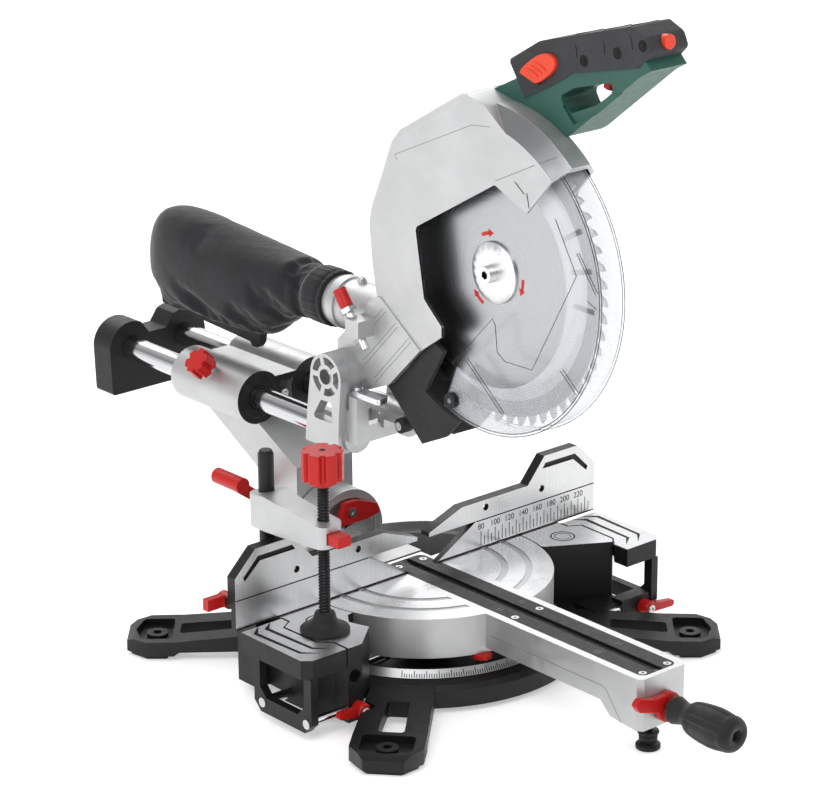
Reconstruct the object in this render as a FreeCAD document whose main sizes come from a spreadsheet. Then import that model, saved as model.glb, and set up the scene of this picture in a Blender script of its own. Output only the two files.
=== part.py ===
import FreeCAD, Part
import math
import os
from FreeCAD import Placement, Rotation, Vector

# Sliding miter saw, millimetres. The origin is on the ground under the turntable's axis,
# +Z up, +Y to the rear, +X to the operator's right. The fence face is the plane Y = 0 and
# the blade cuts in the plane X = 0.

os.makedirs("parts", exist_ok=True)
doc = FreeCAD.newDocument("sliding_miter_saw")

DIMENSIONS = {
    "table_top": 88.0, "deck_floor": 9.0, "extension_depth": 20.0, "end_plate": 9.0,
    "turntable_radius": 133.9, "turntable_bottom": 46.0, "deck_bore": 135.4, "ring_radius": 165.0,
    "arm_half": 32.0, "arm_end": -345.7, "insert_half": 23.3, "insert_thick": 4.0,
    "leg_angle": 41.5, "leg_length": 305.0, "leg_half": 36.0, "foot_bolt_radius": 4.5,
    "fence_half": 243.6, "fence_low": 31.4, "fence_gap": 0.3, "fence_wall": 7.0, "upper_wall": 12.0,
    "guide_rod": 5.0, "guide_rod_length": 156.0,
    "drum_radius": 50.0, "drum_front": 122.0, "drum_back": 156.0,
    "barrel_radius": 45.0, "barrel_length": 48.5, "column_half": 38.0,
    "rail_radius": 13.0, "rail_spread": 36.0, "rail_height": 224.0, "rail_length": 408.0,
    "sleeve_radius": 29.0, "sleeve_front": 220.0, "sleeve_length": 116.0,
    "pivot_y": 80.3, "pivot_z": 288.2, "hub_radius": 24.0, "pivot_pin": 8.0, "lug_inner": 47.0,
    "blade_y": -109.1, "blade_z": 429.4, "blade_radius": 152.5, "blade_half": 1.4,
    "guard_radius": 160.0, "guard_half": 15.0, "hood_radius": 172.0, "hood_half": 28.0,
    "motor_y": -25.0, "motor_z": 488.0, "motor_radius": 48.0, "motor_length": 82.0,
    "post_x": -180.0, "post_y": 28.0, "clamp_y": -56.0,
}

sheet = doc.addObject("Spreadsheet::Sheet", "dims")
for row, (alias, number) in enumerate(DIMENSIONS.items(), start=1):
    sheet.set(f"A{row}", alias)
    sheet.set(f"B{row}", str(number))
    sheet.setAlias(f"B{row}", alias)
doc.recompute()


def dim(alias):
    """A driving dimension, read back from the spreadsheet."""
    return float(sheet.get(alias))


UP = Vector(0, 0, 1)
RIGHT = Vector(1, 0, 0)
REAR = Vector(0, 1, 0)
TOP = dim("table_top")
BLADE = (dim("blade_y"), dim("blade_z"))
PIVOT = (dim("pivot_y"), dim("pivot_z"))
MOTOR = (dim("motor_y"), dim("motor_z"))
RAIL_X, RAIL_Z = dim("rail_spread"), dim("rail_height")
SIDES = {"left": -1, "right": 1}
nodes = []


# ---------------------------------------------------------------- shared shape helpers

def bind(feature, prop, size):
    """Sets a size: a word is an alias of the sheet and is bound to its cell."""
    if isinstance(size, str):
        feature.setExpression(prop, "dims." + size)
        return dim(size)
    setattr(feature, prop, size)
    return size


def polar(centre, radius, angle):
    """Point at an angle in degrees round a centre, in the plane of an outline."""
    turn = math.radians(angle)
    return (centre[0] + radius * math.cos(turn), centre[1] + radius * math.sin(turn))


class Arc:
    """A round stretch of an outline, angles in degrees, either way round."""

    def __init__(self, centre, radius, start, end):
        self.first = polar(centre, radius, start)
        self.middle = polar(centre, radius, (start + end) / 2)
        self.last = polar(centre, radius, end)


class Circle:
    """A whole round loop of an outline."""

    def __init__(self, centre, radius):
        self.centre, self.radius = centre, radius


def flat(point):
    return Vector(point[0], point[1], 0)


def rounded_corner(before, corner, after):
    """Tangent points and middle of the arc that rounds a corner (a, b, radius)."""
    tip = flat(corner)
    back = (flat(before) - tip).normalize()
    ahead = (flat(after) - tip).normalize()
    half = back.getAngle(ahead) / 2
    reach = corner[2] / math.tan(half)
    inward = (back + ahead).normalize()
    middle = tip + inward * (corner[2] / math.sin(half) - corner[2])
    return tip + back * reach, middle, tip + ahead * reach


def loop_curves(loop):
    """Curves of one closed loop of corners, rounded corners and arcs, or of a circle."""
    if isinstance(loop, Circle):
        return [Part.Circle(flat(loop.centre), UP, loop.radius)]
    spans = []
    for index, item in enumerate(loop):
        before, after = loop[index - 1], loop[(index + 1) % len(loop)]
        if isinstance(item, Arc):
            spans.append([flat(item.first), flat(item.middle), flat(item.last)])
        elif len(item) == 3:
            behind = before.last if isinstance(before, Arc) else before
            ahead = after.first if isinstance(after, Arc) else after
            spans.append(list(rounded_corner(behind, item, ahead)))
        else:
            spans.append([flat(item)])
    curves = []
    for index, span in enumerate(spans):
        following = spans[(index + 1) % len(spans)]
        if len(span) == 3:
            curves.append(Part.Arc(span[0], span[1], span[2]))
        if span[-1].distanceToPoint(following[0]) > 1e-6:
            curves.append(Part.LineSegment(span[-1], following[0]))
    return curves


def sketch_on(body, role, loops):
    """Sketch of closed loops on one of the body's own origin planes."""
    sketch = body.newObject("Sketcher::SketchObject", body.Name + "_sketch")
    plane = [item for item in body.Origin.OriginFeatures if item.Role == role][0]
    sketch.AttachmentSupport = (plane, [""])
    sketch.MapMode = "FlatFace"
    for loop in loops:
        sketch.addGeometry(loop_curves(loop), False)
    return sketch


def on_plane(plane, start, length):
    """Placement of a body padded from start along the normal of a plane."""
    if plane == "YZ":
        return Placement(Vector(start, 0, 0), Rotation(REAR, UP, RIGHT, "ZXY"))
    if plane == "XZ":
        return Placement(Vector(0, start + length, 0), Rotation(RIGHT, UP, -REAR, "ZXY"))
    return Placement(Vector(0, 0, start), Rotation())


def prism(name, plane, loops, start, depth):
    """Padded outline: plane XY, XZ or YZ, from start to start + depth along its axis."""
    body = doc.addObject("PartDesign::Body", name)
    sketch = sketch_on(body, "XY_Plane", loops)
    pad = body.newObject("PartDesign::Pad", name + "_pad")
    pad.Profile = sketch
    length = bind(pad, "Length", depth)
    body.Placement = on_plane(plane, start, length)
    return body


def turned(name, profile, at, axis=UP, angle=360):
    """Revolved profile of (radius, height) points round an axis."""
    body = doc.addObject("PartDesign::Body", name)
    sketch = sketch_on(body, "XZ_Plane", [profile])
    revolution = body.newObject("PartDesign::Revolution", name + "_turn")
    revolution.Profile = sketch
    revolution.ReferenceAxis = (sketch, ["V_Axis"])
    revolution.Angle = angle
    body.Placement = Placement(Vector(*at), Rotation(UP, Vector(axis)))
    return body


def cylinder(name, radius, height, at, axis=UP):
    feature = doc.addObject("Part::Cylinder", name)
    bind(feature, "Radius", radius)
    bind(feature, "Height", height)
    feature.Placement = Placement(Vector(*at), Rotation(UP, Vector(axis)))
    return feature


def box(name, low, high):
    feature = doc.addObject("Part::Box", name)
    feature.Length, feature.Width, feature.Height = [b - a for a, b in zip(low, high)]
    feature.Placement = Placement(Vector(*low), Rotation())
    return feature


def fuse(name, *pieces):
    feature = doc.addObject("Part::MultiFuse", name)
    feature.Shapes = list(pieces)
    return feature


def cut(name, base, *tools):
    feature = doc.addObject("Part::Cut", name)
    feature.Base = base
    feature.Tool = tools[0] if len(tools) == 1 else fuse(name + "_tools", *tools)
    return feature


def common(name, first, second):
    feature = doc.addObject("Part::Common", name)
    feature.Base, feature.Tool = first, second
    return feature


def group(name, pieces):
    feature = doc.addObject("Part::Compound", name)
    feature.Links = list(pieces)
    return feature


def mirrored(name, source):
    feature = doc.addObject("Part::Mirroring", name)
    feature.Source, feature.Normal = source, RIGHT
    return feature


def ring(name, outer, inner, height, at, axis=UP):
    """Tube between two radii."""
    return cut(name, cylinder(name + "_outer", outer, height, at, axis),
               cylinder(name + "_bore", inner, height, at, axis))


def moved(feature, placement):
    feature.Placement = placement.multiply(feature.Placement)
    return feature


def spun(feature, angle, axis=UP, about=(0, 0, 0)):
    """Turns a finished feature about a line."""
    centre = Vector(*about)
    return moved(feature, Placement(Vector(), Rotation(axis, angle), centre))


def softened(name, base, size, wanted, kind="Part::Fillet"):
    """Rounds or chamfers the edges that wanted(edge) picks."""
    doc.recompute()
    feature = doc.addObject(kind, name)
    feature.Base = base
    picked = [i for i, edge in enumerate(base.Shape.Edges, start=1) if wanted(edge)]
    feature.Edges = [(index, size, size) for index in picked]
    return feature


def lobed(radius, depth, lobes):
    """Outline of a grip knob with rounded lobes."""
    step = 360 / lobes
    loop = []
    for index in range(lobes):
        for share, reach in ((-0.3, radius), (0.3, radius), (0.4, radius - depth), (0.6, radius - depth)):
            loop.append((*polar((0, 0), reach, (index + share) * step), depth * 0.3))
    return loop


def hexagon(radius, centre=(0, 0)):
    return [polar(centre, radius, 60 * corner) for corner in range(6)]


def cap_screw(name, at, head_radius, head_height, shank_radius, shank_length, axis=UP):
    """Socket head screw: at is the underside of its head, axis points out of the head."""
    out = Vector(axis)
    start = Vector(*at)
    head = cylinder(name + "_head", head_radius, head_height, start, out)
    shank = cylinder(name + "_shank", shank_radius, shank_length, start, -out)
    key = prism(name + "_key", "XY", [hexagon(head_radius * 0.5)], 0, head_height)
    key.Placement = Placement(start + out * head_height * 0.45, Rotation(UP, out))
    return cut(name, fuse(name + "_blank", head, shank), key)


def node(label, feature):
    """Names a finished sub-part: the label is its file name."""
    feature.Label = label
    nodes.append(feature)
    return feature


# ---------------------------------------------------------------- base and decks

LEFT_DECK = [(-189.4, -105), (-171.6, -105), (-139.5, -78), (-146.6, -56), (-136.5, -42),
             Arc((0, 0), dim("deck_bore"), 197.5, 163), (-150, 48), (-205, 48), (-205, 17.5), (-189.4, 17.5),
             (-190.1, -15.5), (-202.9, -23.2), (-201.2, -72.7), (-189.5, -85)]
LEFT_HOLLOW = [(-184, -98), (-172, -98), (-149, -79), (-154, -56), (-144, -42), (-143, 14), (-184, 14)]
RIGHT_DECK = [(132, -42), (194.1, -79), (201.2, -72.7), (202.9, -23.2), (190.1, -15.5), (189.4, 17.5),
              (205, 17.5), (205, 48), (150, 48), Arc((0, 0), dim("deck_bore"), 17, -16.5)]
RIGHT_HOLLOW = [(145, -44), (188, -71), (191, -29), (184, -14), (184, 14), (143, 14), (143, -30)]
ROD_ROWS = (-98.0, -30.0)
ROD_Z = 20.0
FOOT_BOLT = 275.0


def leg(name, angle):
    """One splayed leg: a flat arm with a window and a recessed foot."""
    half, length = dim("leg_half"), dim("leg_length")
    plan = [(120, -30), (258, -half), (length - 21, -half), (length, -20), (length, 20),
            (length - 21, half), (258, half), (120, 30)]
    window = [(192, -11, 4), (251, -13, 4), (251, 13, 4), (192, 11, 4)]
    side = [(120, 9), (250, 9), (256, 5), (length, 5), (length, 16), (298, 20), (250, 21), (165, 28), (120, 28)]
    arm = common(name + "_arm", prism(name + "_plan", "XY", [plan, window], 0, 40),
                 prism(name + "_side", "XZ", [side], -40, 80))
    channel = prism(name + "_channel", "XY", [[(258, -26, 5), (290, -26, 5), (297, 0), (290, 26, 5), (258, 26, 5)]],
                    13, 20)
    boss = turned(name + "_boss", [(0, 0), (7.7, 0), (7.7, 5), (11, 5), (11, 17), (0, 17)], (FOOT_BOLT, 0, 0))
    hole = cylinder(name + "_hole", "foot_bolt_radius", 40, (FOOT_BOLT, 0, -5))
    return spun(cut(name, fuse(name + "_body", cut(name + "_shell", arm, channel), boss), hole), angle)


def rod_bores(radius, reach):
    """Clearance for the extension guide rods, running along X."""
    return [cylinder(f"rod_bore_{side}_{index}", radius, reach, (sign * 70, y, ROD_Z), Vector(sign, 0, 0))
            for side, sign in SIDES.items() for index, y in enumerate(ROD_ROWS)]


def base_casting():
    rim = dim("ring_radius")
    ring_profile = [(8.2, 10), (134, 10), (134, 6), (rim, 6), (rim, 24), (rim - 5, 28.5), (134, 28.5), (134, 20),
                    (30, 20), (30, 45.9), (8.2, 45.9)]
    scale_seat = [(134, 28), (143.4, 28), (143.4, 28.5), (137.4, 35.8), (134, 35.8)]
    seat = spun(turned("scale_seat", scale_seat, (0, 0, 0), angle=150), -165)
    floor = dim("deck_floor")
    height = TOP - floor
    left = cut("left_deck", prism("left_deck_block", "XY", [LEFT_DECK], floor, height),
               prism("left_deck_hollow", "XY", [LEFT_HOLLOW], floor, height - 10))
    right = cut("right_deck", prism("right_deck_block", "XY", [RIGHT_DECK], floor, height),
                prism("right_deck_hollow", "XY", [RIGHT_HOLLOW], floor, height - 10))
    lug = box("lever_lug", (185, -104, 9), (224, -88, 31))
    web = box("lug_web", (150, -100, 9), (195, -70, 28))
    legs = [leg(f"leg_{index}", angle) for index, angle in enumerate(leg_angles())]
    whole = fuse("base_whole", turned("base_ring", ring_profile, (0, 0, 0)), seat, left, right, lug, web, *legs)
    sockets = [cylinder(f"post_socket_{side}", 8.05, 50, (sign * 180, 28, TOP - 48)) for side, sign in SIDES.items()]
    threads = [cylinder(f"fence_thread_{side}_{index}", 3.0, 20, (sign * x, 22, TOP - 20))
               for side, sign in SIDES.items() for index, x in enumerate((146, 197))]
    lever_bores = [cylinder("left_lever_bore", 4.05, 3, (-178, -105.5, 22), REAR),
                   cylinder("right_lever_bore", 4.05, 3, (216, -104.5, 17.5), REAR)]
    eye = cylinder("front_eye", 7, 10, (-180.5, -106, 57), REAR)
    lever_room = box("lever_room", (-200, -119, 12), (-166, -105.05, 40))
    tools = [*sockets, *threads, *lever_bores, eye, lever_room, *rod_bores(5.06, 180)]
    return node("base_casting", cut("base", whole, *tools))


def leg_angles():
    angle = dim("leg_angle")
    return (angle, 180 - angle, 180 + angle, 360 - angle)


def rubber_feet():
    outline = [(262, -31, 3), (284, -31, 3), (301, -17, 3), (301, 17, 3), (284, 31, 3), (262, 31, 3)]
    pads = []
    for index, angle in enumerate(leg_angles()):
        bolt_room = Circle((FOOT_BOLT, 0), 8)
        pads.append(spun(prism(f"foot_pad_{index}", "XY", [outline, bolt_room], 0, 5), angle))
    return node("rubber_feet", group("feet", pads))


def miter_scale():
    plate = [(143.4, 28.5), (144.02, 29.01), (138.02, 36.31), (137.4, 35.8)]
    return node("miter_scale", spun(turned("scale_plate", plate, (0, 0, 0), angle=140), -160))


# ---------------------------------------------------------------- table extensions

EXTENSION_TOP = [(-190.9, -5.4), (-191.2, -16), (-204.1, -23.9), (-202.4, -72.2), (-190.7, -85.5),
                 (-190.7, -104.7), (-232.9, -104.7), (-241.5, -96.8), (-241.5, -5.4)]


def extension(side, sign):
    """Sliding deck with its rim, end plate and guide rods, drawn on the left."""
    depth, plate = dim("extension_depth"), dim("end_plate")
    rim = prism(side + "_rim", "XY", [EXTENSION_TOP], TOP - depth, "extension_depth")
    under = [(-207, -10), (-207, -98), (-226, -98), (-226, -10)]
    hollow = prism(side + "_under", "XY", [under], TOP - depth, depth - 6)
    end = [(-105, TOP - depth), (-105, 19.5), (-95, 9.5), (-27, 9.5), (-17, 19.5), (-17, TOP - depth)]
    window = [(-94, 66), (-94, 36), (-84, 26), (-36, 26), (-26, 36), (-26, 66)]
    wall = prism(side + "_wall", "YZ", [end, window], -236, "end_plate")
    eyes = [cylinder(f"{side}_eye_{index}", 5.02, 3 * plate, (-245, y, ROD_Z), RIGHT)
            for index, y in enumerate(ROD_ROWS)]
    table = cut(side + "_table", fuse(side + "_table_blank", rim, wall), hollow, *eyes)
    rods = [cylinder(f"{side}_rod_{index}", "guide_rod", "guide_rod_length", (-237, y, ROD_Z), RIGHT)
            for index, y in enumerate(ROD_ROWS)]
    pair = group(side + "_rods", rods)
    if sign > 0:
        table, pair = mirrored(side + "_table_m", table), mirrored(side + "_rods_m", pair)
    node(side + "_extension", group(side + "_extension_set", [table, pair]))


def clamp_lever(label, at, tip):
    """Small lever whose screw grips a guide rod, its axis along Y, its hub out in front."""
    x, y, z = at
    hub = turned(label + "_hub", [(0, 0), (8, 0), (8, 10), (6.5, 12), (0, 12)], (x, y, z), -REAR)
    angle = math.degrees(math.atan2(tip[1] - z, tip[0] - x))
    reach = math.hypot(tip[0] - x, tip[1] - z)
    blade = prism(label + "_grip", "XZ", [[(3, -5, 2), (reach, -3.5, 3), (reach, 3.5, 3), (3, 5, 2)]], y - 10.5, 6.5)
    moved(blade, Placement(Vector(x, 0, z), Rotation(-REAR, angle)))
    screw = cylinder(label + "_screw", 4, 0.9, (x, y, z), REAR)
    return node(label, fuse(label + "_whole", hub, blade, screw))


# ---------------------------------------------------------------- fences

def lower_fence(side, sign):
    """Fixed half fence with its back flange, drawn on the left."""
    half, low, gap = dim("fence_half"), TOP + dim("fence_low"), dim("fence_gap")
    face = [(-18, TOP + gap), (-72.9, low), (-half, low), (-half, TOP), (-139, TOP), (-139, TOP + gap)]
    wall = prism(side + "_fence_wall", "XZ", [face], 0, "fence_wall")
    rail = box(side + "_fence_rail", (-half, 7, low - 9), (-72.9, 17, low))
    flange = box(side + "_fence_flange", (-204, 7, TOP), (-140, 34, TOP + 8))
    ribs = [box(f"{side}_fence_rib_{index}", (x - 2.5, 7, TOP + gap), (x + 2.5, 17, low - 9))
            for index, x in enumerate((-226, -160, -120, -90))]
    holes = [cylinder(f"{side}_fence_hole_{index}", 3.2, 12, (x, 22, TOP - 2))
             for index, x in enumerate((-146, -197))]
    post = cylinder(side + "_fence_post_room", 9, 12, (-180, 28, TOP - 2))
    screw = cylinder(side + "_fence_screw_hole", 3.05, 12, (-236, 6, TOP + 24), REAR)
    fence = cut(side + "_fence", fuse(side + "_fence_blank", wall, rail, flange, *ribs), *holes, post, screw)
    return fence if sign < 0 else mirrored(side + "_fence_m", fence)


def upper_fence(side, sign):
    """Sliding upper half fence, drawn on the left, with its chevron groove and two holes."""
    half, bottom = dim("fence_half"), TOP + dim("fence_low") + dim("fence_gap")
    face = [(-half, bottom), (-half, TOP + 54.5), (-217.6, TOP + 80), (-169.8, TOP + 80), (-146, TOP + 52.4),
            (-52.7, TOP + 52.4), (-7.9, TOP + 36), (-7.9, bottom)]
    holes = [Circle((-166.3, TOP + 44.2), 3.6), Circle((-86.7, TOP + 44), 3.6)]
    plate = prism(side + "_upper_plate", "XZ", [face] + holes, 0, "upper_wall")
    chevron = [(-171.5, TOP + 71.7), (-167.7, TOP + 66.4), (-212, TOP + 66.2), (-231.5, TOP + 49),
               (-233.2, TOP + 53.1), (-214.3, TOP + 71.5)]
    groove = prism(side + "_chevron", "XZ", [chevron], -1, 3)
    pocket = box(side + "_upper_pocket", (-236, 6, TOP + 36), (-60, 13, TOP + 46))
    fence = cut(side + "_upper", plate, groove, pocket)
    node(side + "_upper_fence", fence if sign < 0 else mirrored(side + "_upper_m", fence))


def fence_lever(label, x, tip):
    """Lever behind the lower fence that locks the sliding fence."""
    z = TOP + 24
    hub = cylinder(label + "_hub", 8, 13, (x, 17.3, z), REAR)
    low, high = sorted((x, tip))
    grip = box(label + "_grip", (low, 20, z - 5), (high, 28, z + 7))
    screw = cylinder(label + "_screw", 3, 10, (x, 7.3, z), REAR)
    return node(label, fuse(label + "_whole", hub, grip, screw))


def fence_screws():
    screws = [cap_screw(f"fence_screw_{side}_{index}", (sign * x, 22, TOP + 8), 5, 5.5, 2.9, 24)
              for side, sign in SIDES.items() for index, x in enumerate((146, 197))]
    return node("fence_screws", group("fence_screw_set", screws))


# ---------------------------------------------------------------- turntable and its arm

def turntable():
    """Round table with its arm to the front and the neck that carries the bevel drum."""
    radius, bottom = dim("turntable_radius"), dim("turntable_bottom")
    half, end = dim("arm_half"), dim("arm_end")
    disc = cylinder("disc", "turntable_radius", TOP - bottom, (0, 0, bottom))
    side = [(0, TOP), (0, 51), (-292, 51), (-306, 38), (end, 34), (end, TOP)]
    plan = [(-half, 0), (-half, end + 5), (-half + 5, end), (half - 5, end), (half, end + 5), (half, 0)]
    arm = common("arm", prism("arm_side", "YZ", [side], -half, 2 * half), prism("arm_plan", "XY", [plan], 30, 60))
    neck = box("neck", (-45, 90, bottom), (45, dim("drum_front"), TOP))
    under = turned("disc_hollow", [(31, bottom), (126, bottom), (126, TOP - 12), (31, TOP - 12)], (0, 0, 0))
    keep = box("under_keep", (-50, 60, bottom), (50, 134, TOP))
    spine = box("spine_keep", (-half, -134, bottom), (half, 0, TOP))
    hollow = cut("disc_under", under, keep, spine)
    arm_hollow = box("arm_hollow", (-half + 6, -285, 50), (half - 6, -140, 66))
    recess = cut("rear_recess", turned("rear_ring", [(0, TOP - 12), (130, TOP - 12), (130, TOP + 1), (0, TOP + 1)],
                                       (0, 0, 0)),
                 box("front_keep", (-140, -140, TOP - 13), (140, 18.5, TOP + 2)),
                 box("insert_keep", (-27, 0, TOP - 13), (27, 34, TOP + 2)))
    insert_half = dim("insert_half") + 0.2
    seat = prism("insert_seat", "XY", [[(-insert_half, -340, 8), (insert_half, -340, 8), (insert_half, 30, 8),
                                        (-insert_half, 30, 8)]], TOP - 4, 6)
    slot = box("kerf_slot", (-12, -330, 68), (12, 26, TOP))
    drum_room = cylinder("drum_room", 50.0, 40, (0, dim("drum_front"), TOP), REAR)
    pin_room = cylinder("pin_room", 8.2, 30, (0, 0, bottom))
    lock_bore = cylinder("lock_bore", 6.06, 60, (0, -300, 54), -REAR)
    foot_bore = cylinder("foot_bore", 5.06, 20, (3, -323, 30))
    bolt_bore = cylinder("bevel_bolt_bore", 8.06, 30, (0, 100, TOP), REAR)
    head_room = cylinder("bolt_head_room", 13.5, 10, (0, 112.5, TOP), REAR)
    arcs = [turned(f"arc_groove_{index}", [(r, TOP - 0.8), (r + 7, TOP - 0.8), (r + 7, TOP + 1), (r, TOP + 1)],
                   (0, 0, 0), angle=74) for index, r in enumerate((80, 105, 80, 105))]
    for index, groove in enumerate(arcs):
        spun(groove, 180 if index < 2 else 286)
    grooves = cut("arc_grooves", fuse("arc_groove_set", *arcs),
                  box("groove_keep", (-32, -140, TOP - 2), (32, 0, TOP + 2)))
    threads = insert_bores("turntable_thread", 2.05, 14)
    whole = fuse("turntable_blank", disc, arm, neck)
    tools = [hollow, arm_hollow, recess, seat, slot, drum_room, pin_room, lock_bore, foot_bore, bolt_bore, head_room,
             grooves, *threads]
    return node("turntable", cut("turntable_body", whole, *tools))


INSERT_ROWS = (19, -156, -333)


def insert_bores(name, radius, depth):
    return [cylinder(f"{name}_{index}_{side}", radius, depth, (sign * 16.5, y, TOP - depth))
            for index, y in enumerate(INSERT_ROWS) for side, sign in SIDES.items()]


def kerf_insert():
    """Two strips, one each side of the kerf, with countersunk screw holes."""
    half, slot = dim("insert_half"), 5.0
    outline = [(-half, -339.8, 8), (-slot, -339.8), (-slot, 29.8), (-half, 29.8, 8)]
    strip = prism("insert_strip", "XY", [outline], TOP - dim("insert_thick"), "insert_thick")
    holes = [cylinder(f"insert_hole_{index}", 2.2, 5, (-16.5, y, TOP - 5)) for index, y in enumerate(INSERT_ROWS)]
    sinks = [cylinder(f"insert_sink_{index}", 4.2, 3, (-16.5, y, TOP - 2)) for index, y in enumerate(INSERT_ROWS)]
    left = cut("insert_left", strip, *holes, *sinks)
    return node("kerf_insert", group("insert_pair", [left, mirrored("insert_right", left)]))


def turntable_fasteners():
    """Insert screws, the latch's screw and the two pivot bolts."""
    screws = [latch_screw(), miter_pivot_bolt(), bevel_pivot_bolt()]
    for index, y in enumerate(INSERT_ROWS):
        for side, sign in SIDES.items():
            screws.append(cap_screw(f"insert_screw_{index}_{side}", (sign * 16.5, y, TOP - 2), 4, 1.8, 2, 11))
    return node("turntable_fasteners", group("turntable_fastener_set", screws))


def miter_pointer():
    tip = [(-44, -121), (-26, -126), (-27.5, -134.6), (-37, -136.5), (-42, -131)]
    return node("miter_pointer", prism("pointer", "XY", [tip], 40, 5.8))


def miter_pivot_bolt():
    profile = [(0, 4), (14, 4), (14, 9.9), (8, 9.9), (8, 62), (0, 62)]
    return turned("pivot_bolt", profile, (0, 0, 0))


def miter_handle():
    """Turned grip on the lock rod, pointing to the operator."""
    profile = [(0, 0), (6, 0), (6, 54.5), (13, 54.5), (14, 62, 2), (11, 72, 8), (16, 84, 12), (19.5, 104, 20),
               (20, 122, 10), (17.5, 137, 6), (12, 140, 2), (0, 140)]
    grip = turned("grip_turned", profile, (0, -301, 54), -REAR)
    key = prism("grip_key", "XY", [hexagon(6)], 0, 12)
    key.Placement = Placement(Vector(0, -442, 54), Rotation(UP, REAR))
    flutes = []
    for index in range(8):
        flute = cylinder(f"flute_{index}", 5, 34, (0, -437, 54 + 23.4), REAR)
        flutes.append(spun(flute, 45 * index, REAR, (0, -437, 54)))
    return node("miter_handle", cut("miter_grip", grip, key, *flutes))


def index_lever():
    """Collar behind the handle with the tab that lifts the index pin."""
    collar = cylinder("index_collar", 15, 7.5, (0, -354.3, 54), REAR)
    tab = prism("index_tab", "XZ", [[(0, 48, 1), (-40, 60, 3), (-46, 68, 3), (-40, 74, 3), (-20, 68, 4), (0, 68, 1)]],
                -354.3, 7.5)
    bore = cylinder("index_bore", 6.3, 20, (0, -360, 54), REAR)
    return node("index_lever", cut("index", fuse("index_blank", collar, tab), bore))


def support_foot():
    profile = [(0, 0), (12.25, 0), (12.25, 5), (9, 7), (9, 15), (11, 16), (11, 19), (5, 19), (5, 41.5),
               (0, 41.5)]
    return node("support_foot", turned("support_screw", profile, (3, -323, 0)))


def bevel_drum():
    """Fixed half of the bevel bearing, with the flat rim that carries the bevel scale."""
    drum = cylinder("drum", "drum_radius", dim("drum_back") - dim("drum_front"), (0, dim("drum_front"), TOP), REAR)
    dish = ring("drum_dish", 40, 16, 6, (0, dim("drum_front"), TOP), REAR)
    bore = cylinder("drum_bore", 8.06, 40, (0, 120, TOP), REAR)
    return node("bevel_drum", cut("drum_body", drum, dish, bore))


def bevel_latch():
    """Flat trigger on the front of the drum that frees the bevel stops."""
    outline = [(-17, 103, 2), (22, 102.5, 3), (40, 106, 3), (36, 117, 3), (8, 127, 4), (-8, 127, 4)]
    plate = prism("latch_plate", "XZ", [outline], 114, 7)
    bore = cylinder("latch_bore", 3.05, 20, (0, 110, 116), REAR)
    return node("bevel_latch", cut("latch", plate, bore))


def latch_screw():
    return cap_screw("latch_screw_part", (0, 113.7, 116), 5, 3, 3, 8.2, -REAR)


def bevel_pivot_bolt():
    profile = [(0, 0), (13, 0), (13, 7), (8, 7), (8, 121), (0, 121)]
    return turned("bevel_bolt_part", profile, (0, 115, TOP), REAR)


# ---------------------------------------------------------------- tilting column

def tilt_column():
    """Tilting casting: the bevel barrel, the leaning column and the two rail sleeves."""
    half, front, length = dim("column_half"), dim("sleeve_front"), dim("sleeve_length")
    profile = [(157, 60), (157, 162), (228, 200), (318, 200), (318, 193), (306, 192), (222, 145), (205, 108),
               (205, 60)]
    column = prism("column_web", "YZ", [profile], -half, 2 * half)
    barrel = cylinder("barrel", "barrel_radius", "barrel_length", (0, 156.5, TOP), REAR)
    web = box("sleeve_web", (-RAIL_X, front, 236), (RAIL_X, front + length, 243))
    sleeves = [cylinder(f"sleeve_{side}", "sleeve_radius", "sleeve_length", (sign * RAIL_X, front, RAIL_Z), REAR)
               for side, sign in SIDES.items()]
    tools = []
    for side, sign in SIDES.items():
        x = sign * RAIL_X
        tools.append(cylinder(f"sleeve_bore_{side}", 16.5, 130, (x, 210, RAIL_Z), REAR))
        tools.append(cylinder(f"seal_seat_front_{side}", 22, 6, (x, front, RAIL_Z), REAR))
        tools.append(cylinder(f"seal_seat_rear_{side}", 22, 6, (x, front + length - 6, RAIL_Z), REAR))
    tools.append(cylinder("barrel_bore", 8.06, 60, (0, 150, TOP), REAR))
    tools.append(box("column_pocket", (-half + 8, 230, 150), (half - 8, 330, 196)))
    boss = cylinder("knob_boss", 9, 16, (-RAIL_X, 278, RAIL_Z), LOCK_AXIS)
    moved(boss, Placement(LOCK_AXIS * 19, Rotation()))
    tools.append(cylinder("knob_bore", 4.06, 40, (-RAIL_X, 278, RAIL_Z), LOCK_AXIS))
    return node("tilt_column", cut("column", fuse("column_blank", column, barrel, web, *sleeves, boss), *tools))


LOCK_AXIS = Vector(-0.73, 0, 0.683).normalize()


def slide_bushes():
    """Plastic bushes in the sleeves and the wiper seals at their mouths."""
    rings = [ring(f"bush_{side}_{y}", 16.45, 13.05, 20, (sign * RAIL_X, y, RAIL_Z), REAR)
             for side, sign in SIDES.items() for y in (228, 300)]
    rings += [ring(f"seal_{side}_{y}", 21.9, 13.4, 5, (sign * RAIL_X, y, RAIL_Z), REAR)
              for side, sign in SIDES.items() for y in (220.8, 330.2)]
    return node("slide_bushes", group("bush_set", rings))


def slide_lock_knob():
    base = Vector(-RAIL_X, 278, RAIL_Z)
    head = prism("lock_knob_head", "XY", [lobed(15, 4, 6)], 0, 17)
    head.Placement = Placement(base + LOCK_AXIS * 36, Rotation(UP, LOCK_AXIS))
    stem = cylinder("lock_knob_stem", 4, 23, base + LOCK_AXIS * 13.4, LOCK_AXIS)
    return node("slide_lock_knob", fuse("lock_knob", head, stem))


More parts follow.
